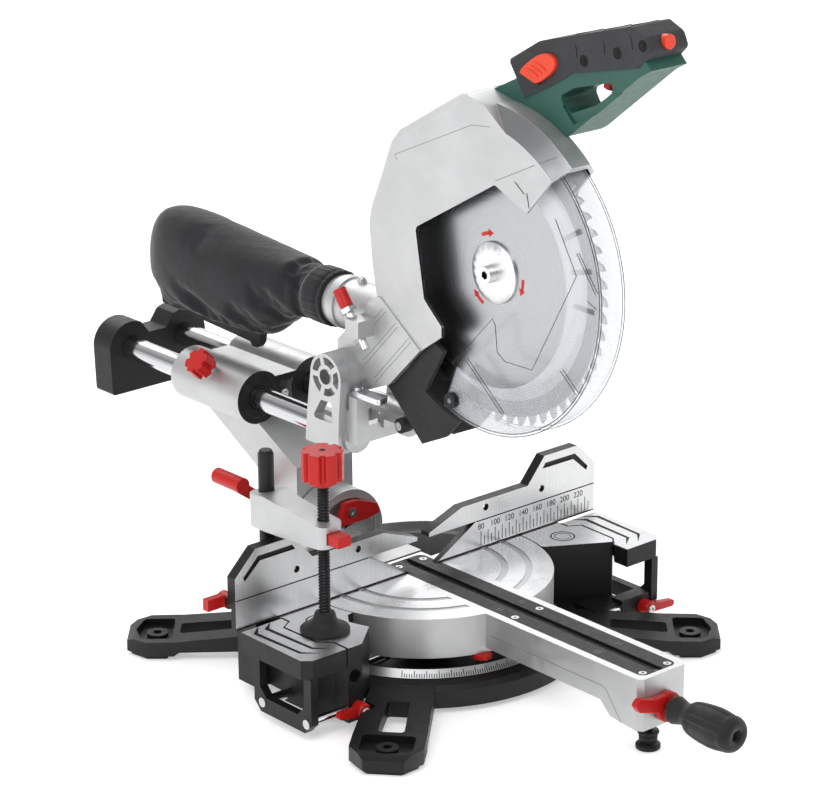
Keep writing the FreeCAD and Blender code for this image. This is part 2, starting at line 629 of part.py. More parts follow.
def bevel_lever():
    """Clamping lever on the back of the bevel bolt."""
    hub = ring("bevel_hub", 14, 8.06, 20, (0, 205.5, TOP), REAR)
    shank = prism("bevel_shank", "XZ", [[(-9, TOP - 6), (-9, TOP + 8), (-84, TOP + 65), (-94, TOP + 55)]], 218, 7)
    bore = cylinder("bevel_shank_bore", 8.06, 20, (0, 210, TOP), REAR)
    grip = cylinder("bevel_grip", 8.5, 44, (-89, 183, TOP + 60), REAR)
    return node("bevel_lever", cut("bevel_lever_whole", fuse("bevel_lever_blank", hub, shank, grip), bore))


# ---------------------------------------------------------------- slide carriage

def slide_rails():
    rails = [cylinder(f"rail_{side}", "rail_radius", "rail_length", (sign * RAIL_X, 62, RAIL_Z), REAR)
             for side, sign in SIDES.items()]
    return node("slide_rails", group("rail_pair", rails))


def rear_rail_cap():
    left, right = (-RAIL_X, RAIL_Z), (RAIL_X, RAIL_Z)
    outline = [(-64, 173, 4), Arc(left, 30, 175, 62), (-12, 237), (12, 237), Arc(right, 30, 118, 5), (64, 173, 4)]
    plate = prism("cap_plate", "XZ", [outline], 446, 32)
    bores = [cylinder(f"cap_bore_{side}", 13.0, 24, (sign * RAIL_X, 446, RAIL_Z), REAR)
             for side, sign in SIDES.items()]
    return node("rear_rail_cap", cut("cap", plate, *bores))


def front_bracket():
    """Front casting: rail clamps, the two pivot lugs and the guard roller's arm."""
    clamps = [cylinder(f"clamp_tube_{side}", 17.5, 60, (sign * RAIL_X, 58, RAIL_Z), REAR)
              for side, sign in SIDES.items()]
    cross = box("bracket_cross", (-RAIL_X, 60, 214), (RAIL_X, 70, 232))
    rear_cross = box("bracket_rear_cross", (-RAIL_X, 104, 212), (RAIL_X, 116, 230))
    lugs = []
    for side, sign in SIDES.items():
        inner = dim("lug_inner")
        start = inner if sign > 0 else -inner - 13
        web = [(62, 212), (60, 250), Arc(PIVOT, 24, 180, 0), (110, 250), (114, 212)]
        window = [(70, 240, 3), (72, 262, 3), (88, 262, 3), (102, 240, 3)]
        lugs.append(prism(f"lug_web_{side}", "YZ", [web, window], start, 13))
    arm = box("roller_arm", (-3.5, 11, 235.5), (3.5, 62, 247))
    arm_foot = box("roller_arm_foot", (-3.5, 56, 226), (3.5, 66, 240))
    perch = box("stop_perch", (-50, 44, 222), (-34, 56, 271.6))
    perch_foot = box("stop_perch_foot", (-50, 54, 222), (-34, 68, 256))
    tools = [cylinder(f"clamp_bore_{side}", 13.02, 60, (sign * RAIL_X, 62, RAIL_Z), REAR)
             for side, sign in SIDES.items()]
    tools.append(cylinder("pivot_bore", 8.0, 140, (-70, *PIVOT), RIGHT))
    for angle in range(0, 360, 72):
        pocket = prism(f"hub_pocket_{angle}", "YZ", [[Arc(PIVOT, 20.5, angle + 8, angle + 64),
                                                      Arc(PIVOT, 12.5, angle + 59, angle + 13)]], -61, 9)
        tools.append(pocket)
    tools.append(cylinder("hub_clear", 24.4, 93.6, (-46.8, *PIVOT), RIGHT))
    tools.append(cylinder("perch_thread", 2.6, 16, (-42, 50, 258)))
    tools.append(cylinder("roller_thread", 2.5, 9, (-4.5, 17.5, 241.5), RIGHT))
    whole = fuse("bracket_blank", *clamps, cross, rear_cross, *lugs, arm, arm_foot, perch, perch_foot)
    return node("front_bracket", cut("bracket", whole, *tools))


def bracket_fasteners():
    """Chop pivot pin, roller screw and stop plate screw."""
    pin = cylinder("pivot_pin_part", "pivot_pin", 122, (-61, *PIVOT), RIGHT)
    roller_screw = cap_screw("roller_screw", (-15.9, 17.5, 241.5), 4.5, 1.7, 2.5, 18, -RIGHT)
    plate_screw = cap_screw("stop_screw_part", (-42, 50, 278.3), 5, 3, 2.55, 20)
    return node("bracket_fasteners", group("bracket_fastener_set", [pin, roller_screw, plate_screw]))


def guard_roller():
    return node("guard_roller", ring("roller_tyre", 8, 2.56, 11.5, (-15.6, 17.5, 241.5), RIGHT))


def stop_plate():
    """Swinging rest under the depth stop."""
    outline = [Arc((-42, 50), 6.5, 180, 0), (-31.5, 17, 2), (-36, 12, 4), (-46, 12, 2), (-48.5, 14, 2)]
    plate = prism("stop_outline", "XY", [outline], 272, 6)
    bore = cylinder("stop_bore", 2.66, 10, (-42, 50, 270))
    return node("stop_plate", cut("stop", plate, bore))


# ---------------------------------------------------------------- sawing head

CREASE_REAR, CREASE_FRONT = (30, 378), (-30, 336)
HOOD_BACK = [(45.6, 374), (52, 401), (58, 458), (20, 546), (-88, 609)]
HOOD_END = 132.0
HOOD_REAR = [CREASE_FRONT, CREASE_REAR] + HOOD_BACK + [
    polar(BLADE, dim("hood_radius"), 94), polar(BLADE, dim("hood_radius") - 20, 110), (-150, 420)]


def blade_room(name):
    """Hollow in which the blade and its guard turn."""
    profile = [(0, -24.5), (153, -24.5), (165, -12.5), (165, 12.5), (153, 24.5), (0, 24.5)]
    return turned(name, profile, (0, *BLADE), RIGHT)


def upper_guard():
    """Hood over the blade, open below, with the left window that shows the blade."""
    half, radius = dim("hood_half"), dim("hood_radius")
    rear = prism("hood_rear", "YZ", [HOOD_REAR], -half, 2 * half)

    def on_rim(edge):
        ends = [vertex.Point for vertex in edge.Vertexes]
        return len(ends) == 2 and all(
            abs(abs(end.x) - half) < 0.01 and any(math.hypot(end.y - y, end.z - z) < 0.01 for y, z in HOOD_BACK)
            for end in ends)

    rear = softened("hood_rear_bevel", rear, 9.9, on_rim, "Part::Chamfer")
    profile = [(0, -half), (radius - 16, -half), (radius, -12), (radius, 12), (radius - 16, half), (0, half)]
    wedge = [BLADE] + [polar(BLADE, 260, angle) for angle in (92, 112, HOOD_END)]
    front = common("hood_front", turned("hood_drum", profile, (0, *BLADE), RIGHT),
                   prism("hood_wedge", "YZ", [wedge], -half, 2 * half))
    tip = polar(BLADE, radius, HOOD_END)
    window = [(-300, 500), (-200, 523), (-184, 506.5), (-136, 527, 4), (-22, 461, 6), (-34.6, 390, 6), (-60, 368),
              (-60, 300), (-300, 300)]
    left_cut = prism("hood_window", "YZ", [window], -40, 45)
    lower = [(-300, 540), (tip[0] + 20, tip[1] - 32), (-165, 418), (-109, 385), (-60, 368), (-60, 300), (-300, 300)]
    right_cut = prism("hood_right_cut", "YZ", [lower], -5, 50)
    hub_room = cylinder("hood_hub_room", 36.4, 20, (20, *BLADE), RIGHT)
    hood = fuse("hood_blank", rear, front)
    return node("upper_guard", cut("hood", hood, blade_room("hood_room"), left_cut, right_cut, hub_room))


ARM_OUTLINE = [CREASE_FRONT, CREASE_REAR, (45.6, 374), (76, 338), (97, 318), Arc(PIVOT, 24, 45, -105),
               (17, 289)]
ARM_CAVITY = [(50, 284), (60, 324), (34, 362), (-45, 326), (-60, 290), (10, 255)]


def swing_arm():
    """Hinged casting from the chop pivot to the hood, hollow and open below."""
    body = prism("arm_body", "YZ", [ARM_OUTLINE], -30, 60)
    hub = cylinder("arm_hub", "hub_radius", 93, (-46.5, *PIVOT), RIGHT)
    hollow = prism("arm_cavity", "YZ", [ARM_CAVITY], -23, 46)
    stop_boss = box("stop_boss", (-52, 38, 336), (-30, 58, 354))
    spring_room = ring("spring_room", 26, 14, 15.5, (31, *PIVOT), RIGHT)
    bore = cylinder("arm_bore", 8.06, 120, (-60, *PIVOT), RIGHT)
    stop_bore = cylinder("arm_stop_bore", 4.06, 90, STOP_TIP, STOP_AXIS)
    whole = fuse("arm_blank", cut("arm_shell", body, hollow), hub, stop_boss)
    return node("swing_arm", cut("arm_part", whole, spring_room, bore, stop_bore, blade_room("arm_room")))


def return_spring():
    """Torsion spring round the right end of the hub: closed coils and two tangs."""
    coils = []
    for turn in range(4):
        coil = doc.addObject("Part::Torus", f"spring_coil_{turn}")
        coil.Radius1, coil.Radius2 = 17.5, 1.7
        coil.Placement = Placement(Vector(33 + turn * 3.2, *PIVOT), Rotation(UP, RIGHT))
        coils.append(coil)
    tang = cylinder("spring_tang", 1.7, 34, (42.6, PIVOT[0] - 17.5, PIVOT[1]), UP)
    return node("return_spring", fuse("return_spring_wire", *coils, tang))


STOP_AXIS = Vector(0, 0.611, 0.791).normalize()
STOP_TIP = Vector(-42, 37.4, 324.2)


def depth_stop_screw():
    rod = cylinder("stop_rod", 4, 52, STOP_TIP, STOP_AXIS)
    nut = prism("stop_nut", "XY", [hexagon(9)], 0, 5)
    nut.Placement = Placement(STOP_TIP + STOP_AXIS * 41, Rotation(UP, STOP_AXIS))
    knob = cylinder("stop_cap", 7, 20, STOP_TIP + STOP_AXIS * 47, STOP_AXIS)
    return node("depth_stop_screw", fuse("stop_screw", rod, nut, knob))


BELT_TURN = math.degrees(math.atan2(MOTOR[1] - BLADE[1], MOTOR[0] - BLADE[0]))


def belt_outline(blade_reach, motor_reach):
    """Outline round the two pulleys of the belt drive."""
    return [Arc(BLADE, blade_reach, BELT_TURN + 270, BELT_TURN + 90),
            Arc(MOTOR, motor_reach, BELT_TURN + 90, BELT_TURN - 90)]


def gear_housing():
    """Back plate of the belt drive with the boss that the lower guard turns on."""
    plate = prism("gear_plate", "YZ", [belt_outline(44, 40)], 28.3, 8)
    boss = cylinder("gear_boss", 35.95, 19.5, (9, *BLADE), RIGHT)
    seat = cylinder("gear_seat", 18.02, 30, (14, *BLADE), RIGHT)
    eye = cylinder("gear_eye", 10.6, 40, (0, *BLADE), RIGHT)
    motor_eye = cylinder("gear_motor_eye", 18, 20, (20, *MOTOR), RIGHT)
    return node("gear_housing", cut("gear", fuse("gear_blank", plate, boss), seat, eye, motor_eye))


def belt_cover():
    shell = prism("cover_shell", "YZ", [belt_outline(44, 40)], 36.3, 23.7)
    hollow = prism("cover_hollow", "YZ", [belt_outline(40, 36)], 36.3, 17.7)
    eye = cylinder("cover_eye", 11.0, 30, (40, *MOTOR), RIGHT)
    return node("belt_cover", cut("cover", shell, hollow, eye))


def ball_bearings():
    races = [ring("spindle_race", 18, 10.05, 14, (14, *BLADE), RIGHT),
             ring("rotor_race", 11, 6.05, 6, (54, *MOTOR), RIGHT),
             ring("tail_race", 11, 6.05, 6, (142, *MOTOR), RIGHT)]
    return node("ball_bearings", group("bearing_set", races))


def motor_housing():
    """Vented motor can and its end cap."""
    shell = ring("motor_shell", "motor_radius", 44, "motor_length", (60, *MOTOR), RIGHT)
    vents = []
    for index in range(12):
        vent = box(f"motor_vent_{index}", (118, -3, 30), (134, 3, 60))
        vent.Placement = Placement(Vector(118, *MOTOR), Rotation(RIGHT, 30 * index)).multiply(
            Placement(Vector(0, -3, 40), Rotation()))
        vents.append(vent)
    profile = [(11, 0), (47.5, 0), (47.5, 5, 2), (42, 10, 2), (11, 10)]
    cap = turned("end_cap", profile, (142, *MOTOR), RIGHT)
    return node("motor_housing", group("motor_shells", [cut("motor_shell_vented", shell, *vents), cap]))


def stator():
    return node("stator", ring("stator_ring", 43.9, 29.5, 48, (72, *MOTOR), RIGHT))


def armature():
    """Rotor core, shaft, commutator and motor pulley."""
    profile = [(0, 40), (15, 40), (15, 52), (6, 52), (6, 72), (28.8, 72), (28.8, 120), (14, 124), (14, 136),
               (6, 138), (6, 150), (0, 150)]
    return node("armature", group("rotor_set", [turned("armature_part", profile, (0, *MOTOR), RIGHT), cooling_fan()]))


def cooling_fan():
    hub = cylinder("fan_disc", 40, 2, (62, *MOTOR), RIGHT)
    blades = []
    for index in range(10):
        vane = box(f"fan_vane_{index}", (0, 0, 0), (6, 1.6, 26))
        vane.Placement = Placement(Vector(64, *MOTOR), Rotation(RIGHT, 36 * index)).multiply(
            Placement(Vector(0, -0.8, 12), Rotation()))
        blades.append(vane)
    bore = cylinder("fan_bore", 6.0, 20, (60, *MOTOR), RIGHT)
    return cut("fan", fuse("fan_blank", hub, *blades), bore)


def drive_belt():
    loop = prism("belt_loop", "YZ", [belt_outline(26.8, 17.8), belt_outline(24.4, 15.4)], 41, 10)
    return node("drive_belt", loop)


# ---------------------------------------------------------------- blade and lower guard

TEETH = 56


def saw_blade():
    """Toothed disc: each tooth leads with its steep face."""
    pitch = 360 / TEETH
    radius = dim("blade_radius")
    outline = []
    for index in range(TEETH):
        for share, drop in ((0.0, 9.5), (0.22, 10.5), (0.45, 7.0), (0.62, 2.6), (0.97, 0.0)):
            outline.append(polar(BLADE, radius - drop, (index + share) * pitch))
    plate = prism("blade_plate", "YZ", [outline, Circle(BLADE, 15)], -dim("blade_half"), 2 * dim("blade_half"))
    return node("saw_blade", plate)


def blade_spindle():
    profile = [(0, -1.4), (15, -1.4), (15, 1.4), (31, 1.4), (31, 7.5), (10, 7.5), (10, 40), (24, 40), (24, 52),
               (0, 52)]
    thread = cylinder("spindle_thread", 4.0, 30, (-5, *BLADE), RIGHT)
    return node("blade_spindle", cut("spindle", turned("spindle_turned", profile, (0, *BLADE), RIGHT), thread))


def outer_flange():
    """Outer blade flange and the arbor bolt that holds it."""
    profile = [(4.2, 1.4), (31, 1.4), (31, 4, 1), (22, 7), (4.2, 7)]
    flange = turned("flange_turned", profile, (0, *BLADE), -RIGHT)
    bolt = cap_screw("arbor_bolt", (-7, *BLADE), 8.5, 9, 3.9, 28, -RIGHT)
    return node("outer_flange", group("flange_and_bolt", [flange, bolt]))


GUARD_START, GUARD_END = 127.0, 292.0


def sector(outer, inner, start, end):
    return [Arc(BLADE, outer, start, end), Arc(BLADE, inner, end, start)]


def lower_guard():
    """Clear retracting guard: rim band, two side plates, ribs and the hub ring."""
    outer, half = dim("guard_radius"), dim("guard_half")
    band = prism("guard_band", "YZ", [sector(outer, outer - 3, GUARD_START, GUARD_END)], -half, 2 * half)
    left = prism("guard_left", "YZ", [sector(outer - 1, 112, GUARD_START, GUARD_END)], -half, 2.4)
    slots = [prism(f"guard_slot_{angle}", "YZ", [sector(150, 122, angle, angle + 2.2)], -half - 1, 5)
             for angle in (150, 165, 180)]
    right = prism("guard_right", "YZ", [sector(outer - 1, 70, GUARD_START, GUARD_END)], half - 2.4, 2.4)
    spoke = prism("guard_spoke", "YZ", [sector(72, 40, 170, 292)], half - 2.4, 2.4)
    hub = ring("guard_hub", 44, 36.02, 5, (half - 5, *BLADE), RIGHT)
    eye = polar(BLADE, 145.6, 288)
    stud = cylinder("guard_stud", 2.5, 6.6, (-half - 6.6, *eye), RIGHT)
    guard = fuse("guard_blank", band, left, right, spoke, hub, stud)
    return node("lower_guard", cut("guard", guard, *slots))


def lift_roller():
    eye = polar(BLADE, 145.6, 288)
    return node("lift_roller", ring("lift_tyre", 8, 2.56, 5.8, (-21.2, *eye), RIGHT))


def dust_deflector():
    """Two rubber wings behind the blade that steer chips into the chute."""
    outline = [(28, 285), (-28, 355), (-52, 343), (-70, 335), (-88, 282, 6), (-60, 252, 20), (-25, 235.5)]
    swept = sector(157.5, 100, 262, 300)
    left = cut("flap_left", prism("flap_left_plate", "YZ", [outline], -22.9, 5),
               prism("flap_left_sweep", "YZ", [swept], -30, 20))
    rear = [(28, 285), (-25, 235.5), (-29, 239), (17, 283)]
    web = prism("flap_web", "YZ", [rear], -22.9, 5)
    right = cut("flap_right", prism("flap_right_plate", "YZ", [outline], 17.9, 5),
                prism("flap_right_sweep", "YZ", [swept], 10, 20))
    hollow = prism("flap_arm_room", "YZ", [ARM_CAVITY], -23, 46)
    arm_shape = cut("flap_arm_walls", prism("flap_arm_solid", "YZ", [ARM_OUTLINE], -30, 60), hollow)
    wings = group("flap_pair", [cut("flap_left_clear", fuse("flap_left_web", left, web), arm_shape),
                                cut("flap_right_clear", right, arm_shape)])
    return node("dust_deflector", wings)


# ---------------------------------------------------------------- dust outlet and bag

PIPE_Z = 347.0


def dust_elbow():
    pipe = ring("elbow_pipe", 26, 22.5, 92, (0, 42, PIPE_Z), REAR)
    collar = ring("elbow_collar", 28, 25.9, 10, (0, 108, PIPE_Z), REAR)
    room = prism("elbow_arm_room", "YZ", [ARM_OUTLINE], -30, 60)
    hood = prism("elbow_hood_room", "YZ", [[CREASE_FRONT, CREASE_REAR] + HOOD_BACK], -28, 56)
    screw_boss = cylinder("elbow_boss", 5, 6, (0, 92, PIPE_Z + 23.5))
    return node("dust_elbow", cut("elbow", fuse("elbow_blank", pipe, collar, screw_boss), room, hood))


def dust_bag():
    outline = [(134.5, 374), (237, 378, 20), (360, 396, 30), (395, 394, 25), (436, 340, 30), (428, 281, 6),
               (246, 277.5, 20), (196, 317, 20), (134.5, 321)]
    bag = prism("bag_solid", "YZ", [outline], -38, 76)
    return node("dust_bag", group("bag_and_clip", [bag, bag_clip()]))


def bag_clip():
    """Bar that closes the bag's lower edge."""
    outline = [(258, 276.9), (260, 262, 4), (272, 262, 3), (430, 273, 2), (430, 280)]
    return prism("clip_bar", "YZ", [outline], -5, 10)


# ---------------------------------------------------------------- handle

def d_handle():
    """Green handle housing: the loop that carries the grip and the mount beside the hood."""
    outline = [(-62, 598), (-94, 606), (-150, 634), (-176, 640), (-296, 668), (-304, 660), (-290, 652),
               (-252, 622), (-203, 583), (-184, 572), (-190, 534), (-150, 526), (-62, 560)]
    finger_room = [(-186, 616, 5), (-205, 627, 5), (-274, 646, 4), (-262, 638, 4), (-232, 615, 6), (-196, 600, 8)]
    loop = prism("handle_loop", "YZ", [outline], 8, 46)
    tools = [prism("finger_room", "YZ", [finger_room], 0, 70)]
    tools.append(prism("grip_room", "YZ", [GRIP_OUTLINE], 6, 50))
    tools.append(cylinder("hood_clear", 172.3, 60, (0, *BLADE), RIGHT))
    tools.append(prism("hood_rear_clear", "YZ", [HOOD_REAR], -30, 58.4))
    foot = prism("handle_foot", "YZ", [[(-40, 500), (-60, 580), (-190, 580), (-195, 534), (-120, 470)]], 36.3, 16)
    recess = prism("handle_recess", "YZ", [[(-190, 607), (-212, 622), (-268, 634), (-240, 610), (-205, 592)]], 6, 5)
    tools.append(cylinder("handle_belt_clear", 40.4, 60, (30, *MOTOR), RIGHT))
    tools.append(cylinder("trigger_slot", 7, 22, (31, -234.6, 645.7), Vector(0, 0.3, -1)))
    return node("d_handle", cut("handle", fuse("handle_blank", loop, foot), recess, *tools)) 


GRIP_OUTLINE = [(-118, 639, 4), (-160, 664, 10), (-279, 697, 6), (-298, 689, 10), (-304, 676, 5), (-288, 660),
                (-205, 641), (-172, 622, 4), (-140, 606)]


def grip_cover():
    """Rubber grip over the top bar of the handle, with the thumb slot on its left."""
    shell = prism("grip_shell", "YZ", [GRIP_OUTLINE], 6.5, 49)
    seat = prism("grip_button_seat", "YZ", [BUTTON_OUTLINE], 6, 9)
    front = cylinder("grip_front_seat", 7.3, 22, (31, -284, 681.5), Vector(0, -1, 0.1))
    return node("grip_cover", cut("grip", shell, seat, front))


BUTTON_OUTLINE = [(-134, 632), (-150, 645, 4), (-170, 655, 10), (-186, 646, 8), (-160, 622, 4)]
BUTTON_SHAPE = [(-135.5, 632.3), (-150.5, 644, 4), (-170, 653.6, 9), (-184, 645.8, 7), (-160, 623.6, 4)]


def lock_off_button():
    return node("lock_off_button", prism("button", "YZ", [BUTTON_SHAPE], 3, 8.5))


def front_button():
    return node("front_button", cylinder("front_button_part", 7, 14, (31, -291, 682.2), Vector(0, -1, 0.1)))


def switch_trigger():
    body = cylinder("trigger_body", 6.6, 12, (31, -232.6, 639), Vector(0, 0.3, -1))
    return node("switch_trigger", body)


# ---------------------------------------------------------------- hold-down clamp

CLAMP_ARM_TOP = TOP + 122
SCREW_X, SCREW_Y = -177, dim("clamp_y")


def clamp_post():
    profile = [(0, 46), (8, 46), (8, 250), (6, 254), (0, 254)]
    return node("clamp_post", turned("post", profile, (dim("post_x"), dim("post_y"), 0)))


def clamp_arm():
    post_x, post_y = dim("post_x"), dim("post_y")
    plan = [(-198, 40, 12), (-162, 40, 12), (-166, -10), (-162, -72, 10), (-192, -72, 10), (-196, -10)]
    block = prism("clamp_block", "XY", [plan], CLAMP_ARM_TOP - 33, 36)
    side = [(60, CLAMP_ARM_TOP - 33), (60, CLAMP_ARM_TOP - 2), (12, CLAMP_ARM_TOP + 3), (-80, CLAMP_ARM_TOP - 9),
            (-80, CLAMP_ARM_TOP - 30), (10, CLAMP_ARM_TOP - 33)]
    body = common("clamp_body", block, prism("clamp_side", "YZ", [side], -220, 80))
    bores = [cylinder("clamp_post_bore", 8.06, 60, (post_x, post_y, CLAMP_ARM_TOP - 40)),
             cylinder("clamp_screw_bore", 6.1, 60, (SCREW_X, SCREW_Y, CLAMP_ARM_TOP - 40))]
    slot = box("clamp_tab_slot", (-186, -80, CLAMP_ARM_TOP - 26), (-168, -63, CLAMP_ARM_TOP - 14))
    return node("clamp_arm", cut("clamp", body, *bores, slot))


def clamp_spindle():
    """Threaded spindle and the swivelling pressure foot."""
    spindle = cylinder("clamp_thread", 6, 140, (SCREW_X, SCREW_Y, TOP + 12))
    profile = [(0, 0.3), (24.6, 0.3), (24.6, 3.5), (14, 8), (10, 20), (6.4, 20), (6.4, 11.6), (0, 11.6)]
    foot = turned("clamp_foot", profile, (SCREW_X, SCREW_Y, TOP))
    return node("clamp_spindle", group("clamp_spindle_set", [spindle, foot]))


def clamp_knob():
    head = prism("clamp_knob_head", "XY", [lobed(21, 4.5, 7)], 0, 30)
    head.Placement = Placement(Vector(SCREW_X, SCREW_Y, TOP + 158), Rotation())
    neck = cylinder("clamp_neck", 10, 6.5, (SCREW_X, SCREW_Y, TOP + 152))
    return node("clamp_knob", fuse("clamp_knob_whole", head, neck))


def clamp_tab():
    tab = box("tab_body", (-185, -88, CLAMP_ARM_TOP - 25.5), (-169, -66.2, CLAMP_ARM_TOP - 14.5))
    return node("clamp_release_tab", tab)


# ---------------------------------------------------------------- assembly

def build_base():
    base_casting()
    rubber_feet()
    miter_scale()
    for side, sign in SIDES.items():
        extension(side, sign)
        upper_fence(side, sign)
    node("lower_fences", group("lower_fence_pair", [lower_fence(side, sign) for side, sign in SIDES.items()]))
    fence_screws()
    fence_lever("left_fence_lever", -236, -262)
    clamp_lever("left_table_lever", (-178, -105, 22), (-209, 25))
    clamp_lever("right_table_lever", (216, -104, 17.5), (252, 14))


def build_all(makers):
    for make in makers:
        make()


TURNTABLE_PARTS = (turntable, kerf_insert, turntable_fasteners, miter_pointer, miter_handle, index_lever,
                   support_foot, bevel_drum, bevel_latch)
CARRIAGE_PARTS = (tilt_column, slide_bushes, slide_lock_knob, bevel_lever, slide_rails, rear_rail_cap, front_bracket,
                  bracket_fasteners, guard_roller, stop_plate)
HEAD_PARTS = (swing_arm, upper_guard, return_spring, depth_stop_screw, gear_housing, belt_cover, ball_bearings,
              motor_housing, stator, armature, drive_belt, saw_blade, blade_spindle, outer_flange, lower_guard,
              lift_roller, dust_deflector, dust_elbow, dust_bag, d_handle, grip_cover, lock_off_button, front_button,
              switch_trigger)
CLAMP_PARTS = (clamp_post, clamp_arm, clamp_spindle, clamp_knob, clamp_tab)

build_base()
build_all(TURNTABLE_PARTS + CARRIAGE_PARTS + HEAD_PARTS + CLAMP_PARTS)
doc.recompute()

for feature in doc.Objects:
    if "Invalid" in feature.State or "Error" in feature.State:
        raise RuntimeError(f"{feature.Label} failed: {feature.State}")
for feature in nodes:
    shape = feature.Shape
    if shape.isNull() or not shape.isValid():
        raise RuntimeError(f"{feature.Label} has no valid shape")
    print(f"{feature.Label:24s} solids {len(shape.Solids)}  volume {shape.Volume / 1000:.1f} cm3")
for feature in nodes:
    feature.Shape.exportStep(f"parts/{feature.Label}.step")
print(len(nodes), "sub-parts")
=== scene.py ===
"""Looks of the sliding miter saw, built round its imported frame. Millimetres in, metres out."""
import math

import bpy
from mathutils import Matrix, Vector


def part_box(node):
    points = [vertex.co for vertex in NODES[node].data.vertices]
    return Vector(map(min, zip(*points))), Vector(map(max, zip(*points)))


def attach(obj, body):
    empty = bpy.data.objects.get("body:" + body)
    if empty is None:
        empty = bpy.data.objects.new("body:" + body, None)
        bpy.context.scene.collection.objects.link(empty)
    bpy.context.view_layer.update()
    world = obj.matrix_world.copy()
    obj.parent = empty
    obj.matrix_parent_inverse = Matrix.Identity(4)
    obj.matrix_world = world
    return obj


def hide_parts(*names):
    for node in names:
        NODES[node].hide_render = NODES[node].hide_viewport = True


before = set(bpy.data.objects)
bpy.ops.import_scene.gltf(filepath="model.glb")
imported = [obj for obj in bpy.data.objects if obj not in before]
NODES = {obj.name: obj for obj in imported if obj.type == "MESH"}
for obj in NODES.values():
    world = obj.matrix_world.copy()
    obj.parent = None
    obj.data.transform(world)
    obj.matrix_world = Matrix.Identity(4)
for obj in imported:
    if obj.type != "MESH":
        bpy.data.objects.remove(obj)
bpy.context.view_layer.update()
MM = 0.001
MM_PER_METRE = 1000

# Places on the saw, in mm
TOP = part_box("kerf_insert")[1].z / MM
BLADE_AXIS = (-109.1, 429.4)   # y, z
BLADE_Y, BLADE_Z = BLADE_AXIS
BLADE_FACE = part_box("saw_blade")[0].x / MM
SLEEVE_FRONT = 220.0
CLAMP_AXIS = (-177, -56, TOP)
FOOT_AXIS = (3, -323, 0)

# Directions as the operator sees them
LEFT, RIGHT, FRONT, REAR, UP = (-1, 0, 0), (1, 0, 0), (0, -1, 0), (0, 1, 0), (0, 0, 1)


# ---------------------------------------------------------------- node materials

class Shader:
    """A Principled material with short ways to add nodes in object space."""

    def __init__(self, name, colour, roughness, metallic=0.0):
        self.material = bpy.data.materials.new(name)
        self.material.use_nodes = True
        self.tree = self.material.node_tree
        self.principled = self.tree.nodes["Principled BSDF"]
        self.principled.inputs["Base Color"].default_value = (*colour, 1.0)
        self.principled.inputs["Roughness"].default_value = roughness
        self.principled.inputs["Metallic"].default_value = metallic
        self.colour, self.roughness = colour, roughness
        self.last_normal = None
        if not metallic:
            self.principled.inputs["Specular IOR Level"].default_value = 0.3
        self.material.diffuse_color = (*colour, 1.0)

    def node(self, kind, **values):
        """New node with these properties."""
        made = self.tree.nodes.new(kind)
        for key, value in values.items():
            setattr(made, key, value)
        return made

    def link(self, out, into):
        self.tree.links.new(out, into)

    def position(self, scale=(1, 1, 1), origin=(0, 0, 0)):
        """Object position in millimetres from origin, times scale."""
        coords = self.node("ShaderNodeTexCoord")
        mapping = self.node("ShaderNodeMapping")
        factor = [MM_PER_METRE * value for value in scale]
        mapping.inputs["Scale"].default_value = factor
        mapping.inputs["Location"].default_value = [-o * s for o, s in zip(origin, scale)]
        self.link(coords.outputs["Object"], mapping.inputs["Vector"])
        return mapping.outputs["Vector"]

    def noise(self, size, detail=3.0, stretch=(1, 1, 1)):
        """Noise whose blotches are about size millimetres."""
        noise = self.node("ShaderNodeTexNoise")
        noise.inputs["Scale"].default_value = 1.0
        noise.inputs["Detail"].default_value = detail
        self.link(self.position([value / size for value in stretch]), noise.inputs["Vector"])
        return noise.outputs["Fac"]

    def spread(self, fac, low, high):
        """Maps 0.3..0.7 of a noise to low..high."""
        mapped = self.node("ShaderNodeMapRange")
        mapped.inputs["From Min"].default_value = 0.3
        mapped.inputs["From Max"].default_value = 0.7
        mapped.inputs["To Min"].default_value = low
        mapped.inputs["To Max"].default_value = high
        self.link(fac, mapped.inputs["Value"])
        return mapped.outputs["Result"]

    def mix(self, fac, first, second):
        """Colour mix: first and second are colours or sockets."""
        mixed = self.node("ShaderNodeMix", data_type="RGBA")
        self.link(fac, mixed.inputs["Factor"])
        for value, socket in ((first, mixed.inputs["A"]), (second, mixed.inputs["B"])):
            if isinstance(value, tuple):
                socket.default_value = (*value, 1.0)
            else:
                self.link(value, socket)
        return mixed.outputs["Result"]

    def math(self, operation, first, second=None):
        """Math node: first and second are numbers or sockets."""
        made = self.node("ShaderNodeMath", operation=operation)
        for value, socket in zip((first, second), made.inputs):
            if value is None:
                continue
            if isinstance(value, (int, float)):
                socket.default_value = value
            else:
                self.link(value, socket)
        return made.outputs["Value"]

    def vary(self, fac, amount):
        """Colour lighter and darker by amount."""
        darker = tuple(value * (1 - amount) for value in self.colour)
        lighter = tuple(min(1.0, value * (1 + amount)) for value in self.colour)
        colour = self.mix(self.spread(fac, 0.0, 1.0), darker, lighter)
        self.link(colour, self.principled.inputs["Base Color"])
        return colour

    def rough(self, fac, amount):
        """Roughness higher and lower by amount."""
        value = self.spread(fac, self.roughness - amount, self.roughness + amount)
        self.link(value, self.principled.inputs["Roughness"])

    def bump(self, height, strength, distance):
        """Adds a bump of that many millimetres on top of the ones before."""
        made = self.node("ShaderNodeBump")
        made.inputs["Strength"].default_value = strength
        made.inputs["Distance"].default_value = distance * MM
        self.link(height, made.inputs["Height"])
        if self.last_normal is not None:
            self.link(self.last_normal, made.inputs["Normal"])
        self.last_normal = made.outputs["Normal"]
        self.link(self.last_normal, self.principled.inputs["Normal"])


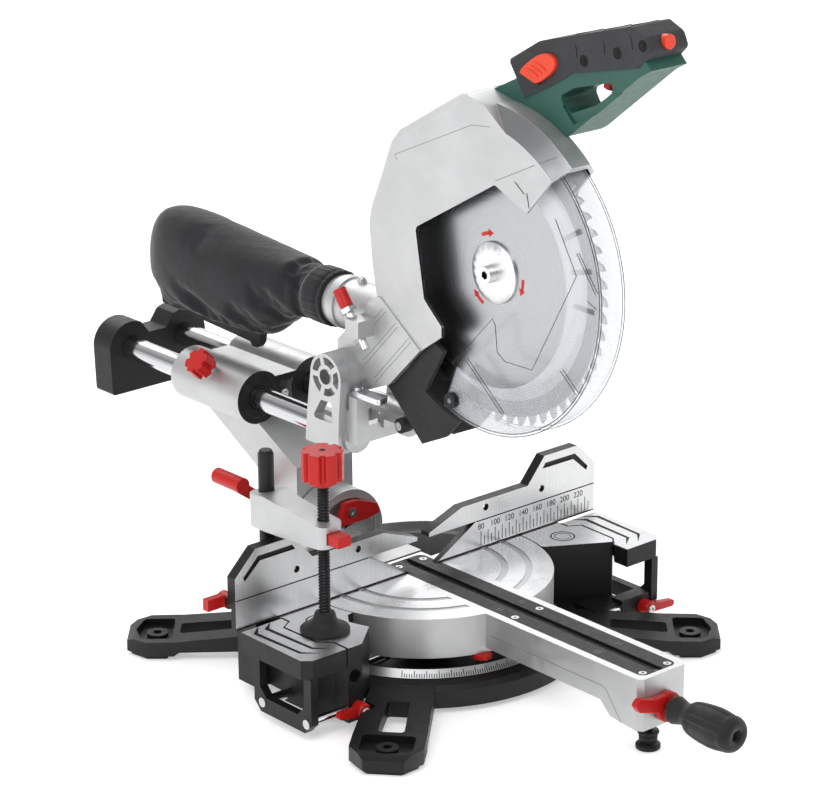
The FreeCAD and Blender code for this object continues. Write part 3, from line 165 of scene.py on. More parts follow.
def cast_metal(name, colour, roughness=0.42, metallic=0.72):
    """Sand-cast metal under silver paint: fine pitting, broad tone changes."""
    shader = Shader(name, colour, roughness, metallic)
    shader.vary(shader.noise(55), 0.06)
    shader.rough(shader.noise(14), 0.06)
    shader.bump(shader.noise(0.9, 4.0), 0.22, 0.12)
    shader.bump(shader.noise(6.0, 2.0), 0.12, 0.25)
    return shader.material


def machined_metal(name, colour, along, roughness=0.3):
    """Milled face with fine lines that run along one axis."""
    stretch = [0.012 if axis == along else 1.0 for axis in range(3)]
    shader = Shader(name, colour, roughness, 0.92)
    shader.vary(shader.noise(1.5, 1.0, stretch), 0.05)
    shader.rough(shader.noise(30), 0.05)
    shader.bump(shader.noise(1.5, 1.0, stretch), 0.04, 0.02)
    return shader.material


def painted(name, colour, roughness=0.42):
    """Powder coat: orange peel and a little tone change."""
    shader = Shader(name, colour, roughness)
    shader.vary(shader.noise(40), 0.18)
    shader.rough(shader.noise(9), 0.05)
    shader.bump(shader.noise(1.1, 3.0), 0.3, 0.12)
    return shader.material


def moulded(name, colour, roughness=0.45, grain=0.45):
    """Moulded plastic with a fine spark-eroded grain."""
    shader = Shader(name, colour, roughness)
    shader.vary(shader.noise(35), 0.09)
    shader.rough(shader.noise(7), 0.05)
    cells = shader.node("ShaderNodeTexVoronoi")
    cells.inputs["Scale"].default_value = 1.0
    shader.link(shader.position([1 / grain] * 3), cells.inputs["Vector"])
    shader.bump(cells.outputs["Distance"], 0.16, 0.06)
    return shader.material


def rubber(name, colour):
    """Soft rubber: dull, finely rough."""
    shader = Shader(name, colour, 0.62)
    shader.vary(shader.noise(25), 0.16)
    shader.rough(shader.noise(5), 0.07)
    shader.bump(shader.noise(0.5, 3.0), 0.3, 0.08)
    shader.principled.inputs["Sheen Weight"].default_value = 0.15
    return shader.material


def polished(name, colour, roughness, along=None):
    """Ground or plated steel, with faint grinding lines if along is an axis."""
    stretch = [0.02 if axis == along else 1.0 for axis in range(3)]
    shader = Shader(name, colour, roughness, 1.0)
    shader.vary(shader.noise(18, 2.0, stretch), 0.05)
    shader.rough(shader.noise(3.0, 2.0, stretch), roughness * 0.3)
    shader.bump(shader.noise(0.8, 2.0, stretch), 0.02, 0.015)
    return shader.material


def blade_metal():
    """Circular-ground disc with a darker outer band."""
    shader = Shader("blade_ground_steel", (0.5, 0.51, 0.53), 0.3, 1.0)
    split = shader.node("ShaderNodeSeparateXYZ")
    shader.link(shader.position(origin=(0, BLADE_Y, BLADE_Z)), split.inputs["Vector"])
    across = shader.math("POWER", split.outputs["Y"], 2.0)
    height = shader.math("POWER", split.outputs["Z"], 2.0)
    radius = shader.math("SQRT", shader.math("ADD", across, height))
    rings = shader.node("ShaderNodeTexNoise", noise_dimensions="1D")
    rings.inputs["Scale"].default_value = 1.6
    rings.inputs["Detail"].default_value = 4.0
    shader.link(radius, rings.inputs["W"])
    band_start, band_end = 127.0, 143.0
    band = shader.math("MULTIPLY", shader.math("GREATER_THAN", radius, band_start),
                       shader.math("LESS_THAN", radius, band_end))
    tone = shader.mix(shader.spread(rings.outputs["Fac"], 0.0, 1.0), (0.36, 0.37, 0.39), (0.52, 0.53, 0.55))
    shader.link(shader.mix(band, tone, (0.2, 0.205, 0.22)), shader.principled.inputs["Base Color"])
    shader.link(shader.spread(rings.outputs["Fac"], 0.24, 0.36), shader.principled.inputs["Roughness"])
    shader.bump(rings.outputs["Fac"], 0.25, 0.05)
    return shader.material


def clear_plastic():
    """Clear polycarbonate, thin: mostly see-through, whiter towards its edges."""
    shader = Shader("clear_polycarbonate", (0.86, 0.9, 0.93), 0.06)
    facing = shader.node("ShaderNodeLayerWeight")
    facing.inputs["Blend"].default_value = 0.35
    scuffs = shader.noise(3.0, 4.0)
    edge = shader.math("MULTIPLY", facing.outputs["Facing"], 0.55)
    alpha = shader.math("ADD", edge, shader.spread(scuffs, 0.07, 0.13))
    shader.link(alpha, shader.principled.inputs["Alpha"])
    shader.bump(shader.noise(18.0, 2.0), 0.1, 0.4)
    shader.material.surface_render_method = "DITHERED"
    return shader.material


def guard_edge():
    """Painted shade on the edges and ribs of the clear guard, where light is lost inside it."""
    shader = Shader("guard_edge_painted_shade", (0.05, 0.055, 0.06), 0.12)
    shader.link(shader.spread(shader.noise(6.0), 0.5, 0.8), shader.principled.inputs["Alpha"])
    shader.vary(shader.noise(9.0), 0.3)
    return shader.material


def woven(name, colour):
    """Woven nylon: warp and weft threads, lighter and darker patches in tone painted as crease shade, sheen."""
    shader = Shader(name, colour, 0.78)
    shader.vary(shader.noise(30, 4.0), 0.3)
    threads = []
    for direction in ("Y", "Z"):
        wave = shader.node("ShaderNodeTexWave", bands_direction=direction)
        wave.inputs["Scale"].default_value = 0.5
        wave.inputs["Distortion"].default_value = 0.6
        wave.inputs["Detail"].default_value = 1.0
        shader.link(shader.position((0.7, 0.7, 0.7)), wave.inputs["Vector"])
        threads.append(wave.outputs["Fac"])
    shader.bump(shader.math("MULTIPLY", *threads), 0.5, 0.18)
    shader.bump(shader.noise(11.0, 4.0), 0.35, 1.2)
    shader.principled.inputs["Sheen Weight"].default_value = 0.35
    shader.principled.inputs["Sheen Roughness"].default_value = 0.4
    return shader.material


SILVER = cast_metal("silver_casting", (0.53, 0.535, 0.54))
# Darker copy of the silver casting: painted shade on the hood's front bevel.
SILVER_SHADE = cast_metal("silver_casting_painted_shade", (0.24, 0.245, 0.255), 0.34, 0.85)
DECK = machined_metal("machined_deck", (0.66, 0.665, 0.675), 0)
FENCE_FACE = machined_metal("machined_fence", (0.66, 0.665, 0.67), 2)
SCALE_PLATE = machined_metal("machined_scale", (0.4, 0.405, 0.41), 0, 0.36)
TABLE_FACE = machined_metal("machined_table", (0.68, 0.685, 0.695), 0, 0.28)
BLACK = painted("black_powder_coat", (0.009, 0.009, 0.01))
# Lighter, glossier copies for rounded edges: painted edge highlight.
BLACK_EDGE_HIGHLIGHT = painted("black_coat_painted_edge_highlight", (0.03, 0.03, 0.033), 0.34)
SILVER_EDGE_HIGHLIGHT = cast_metal("silver_painted_edge_highlight", (0.68, 0.685, 0.69), 0.3, 0.85)
BLACK_PLASTIC = moulded("black_moulding", (0.01, 0.01, 0.011), 0.46)
GREY_GROOVE = machined_metal("grey_groove", (0.5, 0.505, 0.51), 0, 0.4)
RED = moulded("red_moulding", (0.5, 0.012, 0.01), 0.34, 0.7)
ORANGE = moulded("orange_red_moulding", (0.78, 0.06, 0.022), 0.36, 0.7)
GRIP = rubber("grip_rubber", (0.026, 0.027, 0.03))
TURNED = machined_metal("turned_flange", (0.74, 0.745, 0.75), 0, 0.32)
GREEN = moulded("green_moulding", (0.026, 0.098, 0.074), 0.42)
RUBBER = rubber("soft_rubber", (0.013, 0.013, 0.0145))
CHROME = polished("hard_chrome", (0.6, 0.605, 0.62), 0.14, 1)
STEEL = polished("zinc_steel", (0.66, 0.665, 0.68), 0.24)
# Near-black steel for the arbor bolt's socket and the pivot pin's ends: painted shade.
STEEL_SHADE = polished("bore_painted_shade", (0.05, 0.05, 0.052), 0.45)
BLADE_STEEL = blade_metal()
COPPER = polished("winding_copper", (0.5, 0.22, 0.1), 0.35)
CLEAR = clear_plastic()
FABRIC = woven("black_nylon", (0.013, 0.013, 0.0155))
BLACK_SCREW = polished("black_oxide", (0.03, 0.03, 0.032), 0.36)
# Grey for marks, and painted shade along steps and recesses.
GREY_MARKS_AND_STEP_SHADE = painted("grey_marks_and_painted_step_shade", (0.2, 0.2, 0.21), 0.5)
# Near-black for holes, grooves and sockets: painted shade.
RECESS_SHADE = moulded("recess_painted_shade", (0.004, 0.004, 0.005), 0.7)
GUARD_LINE_SHADE = guard_edge()
RED_INK = painted("red_ink", (0.6, 0.03, 0.025), 0.5)
# Black for printed marks and grooves, and for painted shadow lines in gaps.
BLACK_MARKS_AND_SHADOWS = painted("black_marks_and_painted_shadows", (0.008, 0.008, 0.009), 0.6)


# ---------------------------------------------------------------- CAD nodes: materials and rounded edges

def paint(material, *names):
    """One material all over each node."""
    for name in names:
        data = NODES[name].data
        data.materials.clear()
        data.materials.append(material)


def paint_faces(name, materials, choose):
    """Several materials: choose(centre in mm, normal) gives the number of a face's material."""
    data = NODES[name].data
    data.materials.clear()
    for material in materials:
        data.materials.append(material)
    for face in data.polygons:
        face.material_index = choose(face.center / MM, face.normal)


def round_edges(width, *names, edge=None):
    """Breaks each sharp edge of a node, as its casting or moulding has it; an edge material paints a highlight on the
    rounded faces.
    """
    for name in names:
        item = NODES[name]
        weld = item.modifiers.new("weld", "WELD")
        weld.merge_threshold = 0.00001
        flats = item.modifiers.new("flats", "DECIMATE")
        flats.decimate_type = "DISSOLVE"
        flats.angle_limit = math.radians(0.5)
        flats.delimit = {"MATERIAL"}
        bevel = item.modifiers.new("edges", "BEVEL")
        bevel.width = width * MM
        bevel.segments = 2
        bevel.limit_method = "ANGLE"
        bevel.angle_limit = math.radians(38)
        bevel.use_clamp_overlap = True
        if edge is not None:
            item.data.materials.append(edge)
            bevel.material = len(item.data.materials) - 1
        normals = item.modifiers.new("normals", "WEIGHTED_NORMAL")
        normals.keep_sharp = False


paint(RUBBER, "rubber_feet", "dust_deflector", "drive_belt", "guard_roller")
paint(SILVER, "bevel_drum", "front_bracket", "swing_arm", "gear_housing", "clamp_arm", "dust_elbow")
paint(BLACK_PLASTIC, "kerf_insert", "rear_rail_cap", "slide_bushes", "belt_cover", "motor_housing", "lift_roller")
paint(RED, "miter_pointer", "index_lever", "bevel_latch", "slide_lock_knob", "bevel_lever", "left_fence_lever",
      "left_table_lever", "right_table_lever", "clamp_knob", "clamp_release_tab", "switch_trigger")
paint(ORANGE, "lock_off_button", "front_button")
paint(GREEN, "d_handle")
paint(CHROME, "slide_rails")
paint(STEEL, "fence_screws", "turntable_fasteners", "stop_plate", "return_spring",
      "ball_bearings", "blade_spindle")
paint(SCALE_PLATE, "miter_scale")
paint(BLACK, "clamp_post", "support_foot", "clamp_spindle")
paint(COPPER, "stator", "armature")
paint(BLADE_STEEL, "saw_blade")
paint(CLEAR, "lower_guard")
paint(FABRIC, "dust_bag")
paint(RUBBER, "miter_handle")
paint(GRIP, "grip_cover")

FLAT = 0.7     # a face points along an axis when its normal has more than this
CLOSE = 0.05   # a face lies in a plane when its centre is nearer than this
GROOVE_DEPTH = 0.8
ROD_Y, ROD_Z, ROD_REACH = (-98, -30), 20, 5.04


def on_top(centre, normal):
    return normal.z > FLAT and abs(centre.z - TOP) < CLOSE


def fence_face(centre, normal):
    """The fences are machined on their front faces."""
    return int(normal.y < -FLAT and abs(centre.y) < CLOSE)


def extension_face(centre, normal):
    """Machined top and plated guide rods."""
    rod = any(math.hypot(centre.y - y, centre.z - ROD_Z) < ROD_REACH for y in ROD_Y)
    return 1 if on_top(centre, normal) else 2 if rod else 0


def turntable_face(centre, normal):
    """Machined top and the floors of its ring grooves."""
    groove = normal.z > FLAT and abs(centre.z - TOP + GROOVE_DEPTH) < CLOSE
    return 1 if on_top(centre, normal) else 2 if groove else 0


HOOD_INSIDE, SHADED_BEVEL_FROM, SHADED_BEVEL_TO, HOOD_FRONT = 165.5, 150, 173, -100


def hood_face(centre, normal):
    """Black inside; the wide bevel between the hood's side and its rim is darker at the front: painted shade."""
    across, up = centre.y - BLADE_Y, centre.z - BLADE_Z
    reach = math.hypot(across, up)
    outward = (normal.y * across + normal.z * up) / reach
    if normal.x * centre.x < -0.1 or (reach < HOOD_INSIDE and outward < -0.5):
        return 2
    slanted = 0.25 < abs(normal.x) < 0.95 and outward > 0.3
    return int(slanted and SHADED_BEVEL_FROM < reach < SHADED_BEVEL_TO and centre.y < HOOD_FRONT)


def stop_face(centre, normal):
    """The depth stop screw has a red cap at its upper end."""
    foot_y, foot_z, cap_start = 37.4, 324.2, 46.9
    along = 0.611 * (centre.y - foot_y) + 0.791 * (centre.z - foot_z)
    return 1 if along > cap_start else 0


def sleeve_face(centre, normal):
    """The sleeves' front ends are closed by black seal plates."""
    sleeve_low = 170
    return int(normal.y < -FLAT and abs(centre.y - SLEEVE_FRONT) < 1.0 and centre.z > sleeve_low)


def pin_face(centre, normal):
    """Ends of the chop pivot pin sit deep in shadow."""
    pin_end = 60.5
    return int(abs(normal.x) > FLAT and abs(centre.x) > pin_end)


def bolt_face(centre, normal):
    """Painted shade in the hexagon socket of the arbor bolt."""
    socket_radius, socket_side = 4.8, -10
    inside = math.hypot(centre.y - BLADE_Y, centre.z - BLADE_Z) < socket_radius
    return 1 if inside and centre.x < socket_side else 0


paint_faces("base_casting", [BLACK, DECK], lambda centre, normal: int(on_top(centre, normal)))
for side in ("left", "right"):
    paint_faces(side + "_extension", [BLACK, DECK, CHROME], extension_face)
    paint_faces(side + "_upper_fence", [BLACK, FENCE_FACE], fence_face)
paint_faces("lower_fences", [BLACK, FENCE_FACE], fence_face)
paint_faces("turntable", [SILVER, TABLE_FACE, GREY_GROOVE], turntable_face)
paint_faces("upper_guard", [SILVER, SILVER_SHADE, BLACK], hood_face)
paint_faces("depth_stop_screw", [STEEL, RED], stop_face)
paint_faces("outer_flange", [TURNED, STEEL_SHADE], bolt_face)
paint_faces("tilt_column", [SILVER, BLACK_PLASTIC], sleeve_face)
paint_faces("bracket_fasteners", [STEEL, STEEL_SHADE], pin_face)

round_edges(0.9, "base_casting", "left_extension", "right_extension", edge=BLACK_EDGE_HIGHLIGHT)
round_edges(0.5, "lower_fences", "left_upper_fence", "right_upper_fence", edge=BLACK_EDGE_HIGHLIGHT)
round_edges(0.7, "turntable", "tilt_column", "front_bracket", "swing_arm", "clamp_arm", "bevel_drum", "upper_guard",
            edge=SILVER_EDGE_HIGHLIGHT)
round_edges(4.0, "grip_cover")
round_edges(0.8, "rear_rail_cap", "d_handle", "bevel_latch", "bevel_lever", "clamp_knob",
            "slide_lock_knob", "left_fence_lever", "left_table_lever", "right_table_lever", "index_lever",
            "clamp_release_tab", "lock_off_button", "front_button", "switch_trigger", "belt_cover", "motor_housing",
            "miter_pointer", "rubber_feet")
round_edges(0.3, "fence_screws", "turntable_fasteners", "stop_plate", "outer_flange", "clamp_post", "kerf_insert",
            "dust_deflector", "lower_guard", "guard_roller", "lift_roller")


# ---------------------------------------------------------------- new pieces

def mounted(name, data, material, body):
    """New object for a mesh or curve that rides on a body."""
    data.materials.append(material)
    made = bpy.data.objects.new(name, data)
    bpy.context.scene.collection.objects.link(made)
    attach(made, body)
    return made


def piece(name, points, faces, material, body, flat=False):
    """New mesh from points in mm that rides on a body."""
    mesh = bpy.data.meshes.new(name)
    mesh.from_pydata([Vector(point) * MM for point in points], [], faces)
    mesh.polygons.foreach_set("use_smooth", [not flat] * len(mesh.polygons))
    return mounted(name, mesh, material, body)


def edges_of(line, closed=False):
    """Both edges of a flat line through points (u, v, width), mitred at its corners."""
    count, left, right = len(line), [], []
    for index, (u, v, width) in enumerate(line):
        here = Vector((u, v))
        before = line[index - 1] if index or closed else None
        after = line[(index + 1) % count] if index + 1 < count or closed else None
        ways = [(here - Vector(before[:2])).normalized()] if before else []
        ways += [(Vector(after[:2]) - here).normalized()] if after else []
        normals = [Vector((-way.y, way.x)) for way in ways]
        middle = sum(normals, Vector((0, 0))).normalized()
        reach = width / 2 / max(0.4, middle.dot(normals[0]))
        left.append(here + middle * reach)
        right.append(here - middle * reach)
    return left, right


def lines(name, drawn, place, material, body, lift=0.12):
    """Raised flat lines on a surface: place(u, v, height) gives the point in mm."""
    points, faces = [], []
    for line, closed in drawn:
        left, right = edges_of(line, closed)
        start, count = len(points), len(left)
        for a, b in zip(left, right):
            points += [place(a.x, a.y, -0.05), place(a.x, a.y, lift), place(b.x, b.y, lift), place(b.x, b.y, -0.05)]
        for index in range(count if closed else count - 1):
            one, two = start + 4 * index, start + 4 * ((index + 1) % count)
            faces += [(one + k, one + k + 1, two + k + 1, two + k) for k in range(3)]
        if not closed:
            last = start + 4 * (count - 1)
            faces += [(start, start + 1, start + 2, start + 3), (last + 3, last + 2, last + 1, last)]
    return piece(name, points, faces, material, body, flat=True)


def straight(*points, width):
    """Open line of one width through points (u, v)."""
    return [(u, v, width) for u, v in points], False


def circle(centre, radius, width, start=0, end=360, steps=40):
    """Ring or arc between two angles in degrees."""
    closed = end - start == 360
    angles = [math.radians(start + (end - start) * k / steps) for k in range(steps + (not closed))]
    return [(centre[0] + radius * math.cos(a), centre[1] + radius * math.sin(a), width) for a in angles], closed


def on_plane(origin, along, across, outward):
    """Place function of a plane through origin in mm."""
    origin, along, across, outward = (Vector(value) for value in (origin, along, across, outward))
    return lambda u, v, height: origin + u * along + v * across + height * outward


def lathe(name, profile, origin, axis, material, body, steps=48, shape=None):
    """Turned piece: profile of (radius, distance along axis). shape(radius, distance, angle) gives a new radius."""
    axis = Vector(axis).normalized()
    side = axis.orthogonal().normalized()
    other = axis.cross(side)
    points, faces = [], []
    for radius, distance in profile:
        for step in range(steps):
            angle = 2 * math.pi * step / steps
            reach = shape(radius, distance, angle) if shape else radius
            points.append(Vector(origin) + distance * axis
                          + reach * (math.cos(angle) * side + math.sin(angle) * other))
    for row in range(len(profile) - 1):
        for step in range(steps):
            one, two = row * steps + step, row * steps + (step + 1) % steps
            faces.append((one, two, two + steps, one + steps))
    faces.append(tuple(range(steps))[::-1])
    faces.append(tuple(len(points) - steps + step for step in range(steps)))
    return piece(name, points, faces, material, body)


def thread(name, radius, pitch, start, end, origin, axis, material, body, depth=0.9):
    """Rod with grooves of a screw thread, six rows of points a turn."""
    rows = int((end - start) / pitch * 6)
    profile = [(radius, start + (end - start) * row / rows) for row in range(rows + 1)]

    def groove(reach, distance, angle):
        turn = (distance / pitch - angle / (2 * math.pi)) % 1
        return reach - depth * min(1.0, max(0.0, 1.6 * abs(2 * turn - 1) - 0.25))

    return lathe(name, profile, origin, axis, material, body, 24, groove)


def wire(name, runs, radius, material, body):
    """Thin round line through points in mm."""
    curve = bpy.data.curves.new(name, "CURVE")
    curve.dimensions = "3D"
    curve.bevel_depth = radius * MM
    curve.bevel_resolution = 2
    for run in runs:
        spline = curve.splines.new("POLY")
        spline.points.add(len(run) - 1)
        for point, place in zip(spline.points, run):
            point.co = (*(Vector(place) * MM), 1.0)
    return mounted(name, curve, material, body)


def facing_left(x):
    """Plane of constant X in mm that faces the operator's left."""
    return on_plane((x, 0, 0), REAR, UP, LEFT)


def disc_point(centre, radius, degrees):
    """Point (y, z) at that radius and angle round a centre."""
    angle = math.radians(degrees)
    return centre[0] + radius * math.cos(angle), centre[1] + radius * math.sin(angle)


# Marks and painted shadow lines on the decks, fence, miter scale and turntable

def table_plane(sign):
    """Plane of the table's top, mirrored left to right if sign is -1."""
    return on_plane((0, 0, TOP), (sign, 0, 0), REAR, UP)


CHEVRONS = [([(221, -6, 0.6), (233, -17.5, 4.4), (229.5, -82, 3.4), (215.5, -95.5, 0.4)], False),
            ([(206, -6, 0.6), (217.5, -15.5, 4.4), (214, -81.5, 3.4), (200.6, -93, 0.4)], False)]
DECK_EDGE = [(189.4, -4), (189.5, -15.6), (202.3, -23.4), (200.6, -72.9), (188.9, -85.4), (188.9, -104.6)]
for side, sign in (("left", -1), ("right", 1)):
    lines(side + "_deck_grooves", CHEVRONS, table_plane(sign), BLACK_MARKS_AND_SHADOWS, side + "_extension")
# Painted shadow along the joints between the fixed decks and the extensions.
lines("deck_joint_shadows", [straight(*[(sign * x, y) for x, y in DECK_EDGE], width=1.3) for sign in (-1, 1)],
      table_plane(1), BLACK_MARKS_AND_SHADOWS, "base")
rings = [circle((sign * 166, -33), radius, width) for sign in (-1, 1) for radius, width in ((12.5, 1.5), (8.4, 0.8))]
lines("deck_rings", rings, table_plane(1), BLACK_MARKS_AND_SHADOWS, "base")

FENCE_PLANE = on_plane((0, 0, TOP), RIGHT, UP, FRONT)
MARK_LIFT = 0.08   # how far printed marks and painted shadow lines stand out
RULER_START, RULER_END, RULER_STEP = 80, 235, 5
TICK_FOOT, SHORT_TICK, LONG_TICK = 3.3, 9.6, 15.4
ticks = [straight((x, TICK_FOOT), (x, TICK_FOOT + (SHORT_TICK if x % 10 else LONG_TICK)), width=0.9)
         for x in range(RULER_START, RULER_END + 1, RULER_STEP)]
lines("fence_ticks", ticks, FENCE_PLANE, BLACK_MARKS_AND_SHADOWS, "base", MARK_LIFT)

# Painted shadow lines in the gaps under the fixed fence and under the sliding fence: start, end, height, width
FENCE_GAPS = [(243, 139, 0.8, 1.4), (139, 21.2, 1.0, 1.3), (243, 73.4, 30.85, 1.0)]
gaps = [straight((sign * start, height), (sign * end, height), width=width) for sign in (-1, 1)
        for start, end, height, width in FENCE_GAPS]
lines("fence_gap_shadows", gaps, FENCE_PLANE, BLACK_MARKS_AND_SHADOWS, "base", MARK_LIFT)


def number(value):
    """Ruler number on the fence face, value mm from the blade."""
    name, foot = f"number_{value}", 21.2
    curve = bpy.data.curves.new(name, "FONT")
    curve.body = str(value)
    curve.size = 9.2 * MM
    curve.align_x = "CENTER"
    curve.extrude = 0.05 * MM
    curve.materials.append(BLACK_MARKS_AND_SHADOWS)
    made = bpy.data.objects.new(name, curve)
    made.location = (value * MM, -MARK_LIFT * MM, (TOP + foot) * MM)
    made.rotation_euler.x = math.pi / 2
    bpy.context.scene.collection.objects.link(made)
    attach(made, "base")


for value in range(RULER_START, RULER_END, 20):
    number(value)


def scale_cone(degrees, climb, height):
    """Point on the miter scale's cone, climb from 0 at its low edge to 1."""
    angle = math.radians(degrees)
    radius = 144.0 - 6.0 * climb + height * 0.77
    z = 29.0 + 7.3 * climb + height * 0.64
    return Vector((radius * math.cos(angle), radius * math.sin(angle), z))


STRAIGHT_AHEAD, MITER_SPAN = -90, 50   # degrees
marks = [straight((STRAIGHT_AHEAD + miter, 0.05), (STRAIGHT_AHEAD + miter, 0.5 if miter % 5 else 0.8), width=0.36)
         for miter in range(-MITER_SPAN, MITER_SPAN + 1)]
lines("miter_ticks", marks, scale_cone, BLACK_MARKS_AND_SHADOWS, "base", 0.1)

insert_marks = [straight((sign * x, y), (sign * x + 7, y), width=0.8) for sign, x in ((1, 11), (-1, 18))
                for y in (-268, -272, -130, -134)]
lines("insert_marks", insert_marks, table_plane(1), GREY_MARKS_AND_STEP_SHADE, "turntable")
# Grey line along the recess in the turntable's arm: painted shade.
lines("table_arm_line", [straight((-136, 66), (-295, 66), (-300, 63.5), (-321, 36), width=0.7)], facing_left(-32),
      GREY_MARKS_AND_STEP_SHADE, "turntable", 0.1)


# Clamp spindle, foot screw and miter grip

thread("clamp_screw_thread", 6, 3.2, 12, 152, CLAMP_AXIS, UP, BLACK_SCREW, "clamp_spindle", 1.1)
CLAMP_FOOT = [(24.2, 0.35), (24.6, 0.7), (24.6, 2.9), (24.1, 3.5), (21, 4.3), (15.5, 7.0), (13.4, 9.5), (11.6, 13.5),
              (10.4, 18.0), (9.6, 19.7), (6.4, 20.0)]
foot_piece = lathe("clamp_pressure_foot", CLAMP_FOOT, CLAMP_AXIS, UP, RUBBER, "clamp_spindle")
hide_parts("clamp_spindle")

thread("foot_screw_thread", 5, 2.0, 18, 41.3, FOOT_AXIS, UP, BLACK_SCREW, "support_foot", 0.7)


def knurl(radius, distance, angle):
    """Eighteen flutes round the support foot's knob."""
    fluted = 7.5 < distance < 18.8 and radius > 8
    return radius - (0.7 * (0.5 + 0.5 * math.cos(18 * angle)) if fluted else 0)


FOOT_KNOB = [(11.2, 0.0), (12.2, 0.9), (12.2, 4.2), (11.4, 5.0), (7, 5.6), (7, 7.0), (9, 7.4), (9.2, 14.4), (8.2, 15.4),
             (10.8, 16.2), (10.8, 18.2), (10.0, 19.0), (4.9, 19.0)]
foot_piece = lathe("support_foot_knob", FOOT_KNOB, FOOT_AXIS, UP, BLACK_PLASTIC, "support_foot",
                   72, knurl)
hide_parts("support_foot")


def smooth(low, high, value):
    """Smooth step from 0 at low to 1 at high."""
    value = min(1.0, max(0.0, (value - low) / (high - low)))
    return value * value * (3 - 2 * value)


def grip_shape(radius, distance, angle):
    """Five long finger panels round the grip, and a hexagonal hole in its end."""
    if radius < 6.5:
        sector = (angle + math.pi / 6) % (math.pi / 3) - math.pi / 6
        return radius * 0.92 / math.cos(sector)
    turn = (angle * 5 / (2 * math.pi)) % 1
    across = smooth(0.1, 0.2, turn) - smooth(0.8, 0.9, turn)
    along = smooth(86, 92, distance) - smooth(128, 133, distance)
    seam = smooth(80.5, 81.3, distance) - smooth(82.7, 83.5, distance)
    return radius - 1.3 * across * along - 0.7 * seam


GRIP_PROFILE = [(14, 62), (12.2, 68), (11, 74), (12.8, 79), (16, 84), (18.2, 93), (19.6, 104), (20.3, 114),
                (19.9, 123), (18.6, 131), (16.6, 137), (13.6, 140)]


def eased(profile, steps):
    """Smooth curve through the points of a profile."""
    made = []
    for index in range(len(profile) - 1):
        p = [Vector(profile[max(0, min(len(profile) - 1, index + k))]) for k in (-1, 0, 1, 2)]
        for step in range(steps):
            t = step / steps
            point = 0.5 * (2 * p[1] + (p[2] - p[0]) * t + (2 * p[0] - 5 * p[1] + 4 * p[2] - p[3]) * t * t
                           + (3 * p[1] - p[0] - 3 * p[2] + p[3]) * t ** 3)
            made.append(tuple(point))
    return made + [profile[-1]]


grip_line = eased(GRIP_PROFILE, 5) + [(11.5, 140.6), (8.0, 140.2), (6.9, 139.6), (6.2, 139.4), (6.0, 131.0)]
grip_rod = [(6.0, 30.0), (6.0, 58.0), (11.5, 58.4), (13.4, 59.5)]
miter_grip = lathe("miter_grip", grip_rod + grip_line, (0, -301, 54), FRONT, RUBBER, "miter_handle", 120,
                   grip_shape)
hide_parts("miter_handle")


# Marks, painted step shade and fittings on the head

def hood_side(y, z, height):
    """Point on the hood's left side, which turns in towards its rim."""
    side_x, flat_radius = -28, 156
    reach = math.hypot(y - BLADE_Y, z - BLADE_Z)
    inward = max(0.0, reach - flat_radius) if y < HOOD_FRONT else 0.0
    return Vector((side_x + inward - height, y, z))


# Grey lines along the steps of the hood's casting: painted shade.
hood_lines = [
    straight((-137, 531), (-190, 556.5), (-196, 559.5), (-208, 566), width=0.7),
    straight((4, 524), (7.9, 528.5), (-104, 579), (-130, 582), width=0.6),
]
lines("hood_step_shade", hood_lines, hood_side, GREY_MARKS_AND_STEP_SHADE, "head", 0.1)
lines("hood_mark", [straight((-164, 536), (-177, 526.5), width=1.1), straight((-180.5, 528), (-184, 514), width=1.1)],
      hood_side, BLACK_MARKS_AND_SHADOWS, "head", 0.1)

PAIR_Y, PAIR_Z = 3.2, 3.1   # step from one line of a pair to the other
arm_lines = []
for start, end in (((24, 368.4), (70, 321)), ((5.7, 356.6), (55.8, 305.5)), ((-13.9, 345.7), (40, 290))):
    arm_lines.append(straight(start, end, width=0.6))
    arm_lines.append(straight(*[(y - PAIR_Y, z - PAIR_Z) for y, z in (start, end)], width=0.6))
lines("arm_lines", arm_lines, facing_left(-30), GREY_MARKS_AND_STEP_SHADE, "head", 0.1)


def blade_arrow(start):
    """Curved arrow round the flange, pointing the way the blade turns."""
    radius = 38.8
    shaft = circle(BLADE_AXIS, radius, 3.8, start, start + 17, 6)
    tip = [disc_point(BLADE_AXIS, radius, start + turn) for turn in (16, 26)]
    return [shaft, ([(*tip[0], 8.6), (*tip[1], 0.3)], False)]


arrows = [part for start in (60, 178, 296) for part in blade_arrow(start)]
lines("blade_arrows", arrows, facing_left(BLADE_FACE), RED_INK, "blade")


GUARD_ENDS = (127.4, 291.6)   # degrees round the blade
GUARD_SIDE = 15


def guard_arc(radius, x):
    """Arc round the blade from end to end of the clear guard."""
    (start, end), steps = GUARD_ENDS, 48
    angles = [start + (end - start) * k / steps for k in range(steps + 1)]
    return [(x, *disc_point(BLADE_AXIS, radius, angle)) for angle in angles]


